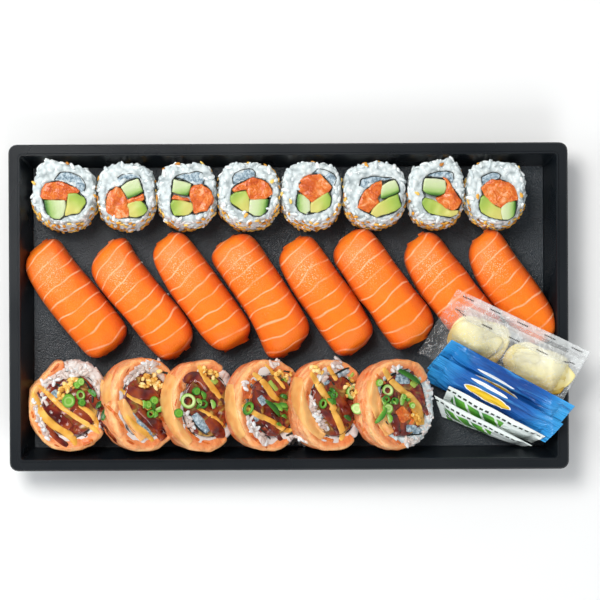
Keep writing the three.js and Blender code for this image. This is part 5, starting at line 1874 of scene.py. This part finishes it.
def add_oval(material, places, middle, halves):
    """A mask that is 1 inside an oval on the print."""
    x, y = (add_node(material, "Math", (at, mid), operation="SUBTRACT") for at, mid in zip(places, middle))
    x, y = (add_node(material, "Math", (at, half), operation="DIVIDE") for at, half in zip((x, y), halves))
    y = add_node(material, "Math", (y, 2.0), operation="POWER")
    far = add_node(material, "Math", (x, x, y), operation="MULTIPLY_ADD")
    return add_node(material, "Math", (far, 1.0), operation="LESS_THAN")


for middle, halves, tone in (
    ((30, 6.6), (10.5, 0.9), "#eef2f4"),
    ((32, 12.5), (13.4, 3.2), "#f2f4f2"),
    ((32, 12.5), (12.6, 2.6), "#f2c62c"),
):
    oval = add_oval(soy_film, (along, across), middle, halves)
    ink = add("MixRGB", (oval, ink, tone), to="Base Color")

# %% Printed film of the wasabi sachets
# The same film, printed white with a row of slanted green blocks and a dashed tear line.
wasabi_film = new_material("white_polyester_film", 0.28, 1.57, coat=(0.2, 0.15))
add = partial(add_node, wasabi_film)
print_map, along, across = read_print(wasabi_film)
slanted = add("Math", (across, -0.7, along), operation="MULTIPLY_ADD")
steps = add("Math", (slanted, 8.5), operation="DIVIDE")
step_share = add("Math", (steps,), operation="FRACT")
blocks = add("Math", (step_share, 0.5, 0.4), operation="COMPARE")
rows = [
    add("Math", (across, middle, half), operation="COMPARE")
    for middle, half in ((8.2, 3.4), (15.5, 2.6))
]
rows = add("Math", rows, operation="MAXIMUM")
printed_part = add("Math", (along, 19.0, 15.0), operation="COMPARE")
for mask in (rows, printed_part):
    blocks = add("Math", (blocks, mask), operation="MULTIPLY")
shade_turn = add("Math", (steps, 1.0), operation="PINGPONG")
green = add("MixRGB", (shade_turn, "#2a7a2c", "#6cb53a"))
dash = add("Math", (along, 1 / 3.2), operation="MULTIPLY")
dash = add("Math", (dash,), operation="FRACT")
dash = add("Math", (dash, 0.62), operation="LESS_THAN")
tear = add("Math", (across, 2.9, 0.6), operation="COMPARE")
dashes = add("Math", (dash, tear), operation="MULTIPLY")
ink = add("MixRGB", (blocks, "#e6eeeb", green))
add("MixRGB", (dashes, ink, "#16211c"), to="Base Color")
add_creases(wasabi_film, print_map, 0.3, 1 / 3.0, 3.0, 0.0, 0.5, 0.8)

# %% The soy sauce and wasabi sachets, each on those before it
carriers = [*nigiri_slices, film]
for name, finish, slot, seed, shift in (
    ("soy_sachet_1", soy_film, "soy_sachet_film", 70, -0.5),
    ("soy_sachet_2", soy_film, "soy_sachet_film", 73, 4.5),
    ("wasabi_sachet_1", wasabi_film, "wasabi_sachet_film", 76, 0.0),
    ("wasabi_sachet_2", wasabi_film, "wasabi_sachet_film", 79, 0.0),
):
    # the print isn't cut at the same place on every sachet, so it is shifted
    sachet = add_sachet(SACHETS[name], food_under(carriers), seed, shift=shift)
    finish_piece(sachet, f"{name}_film", finish, [name])
    carriers.append(sachet)

# %% Remove the patterns
for pattern in (grain, seed_shape, crumb):
    bpy.data.objects.remove(pattern)
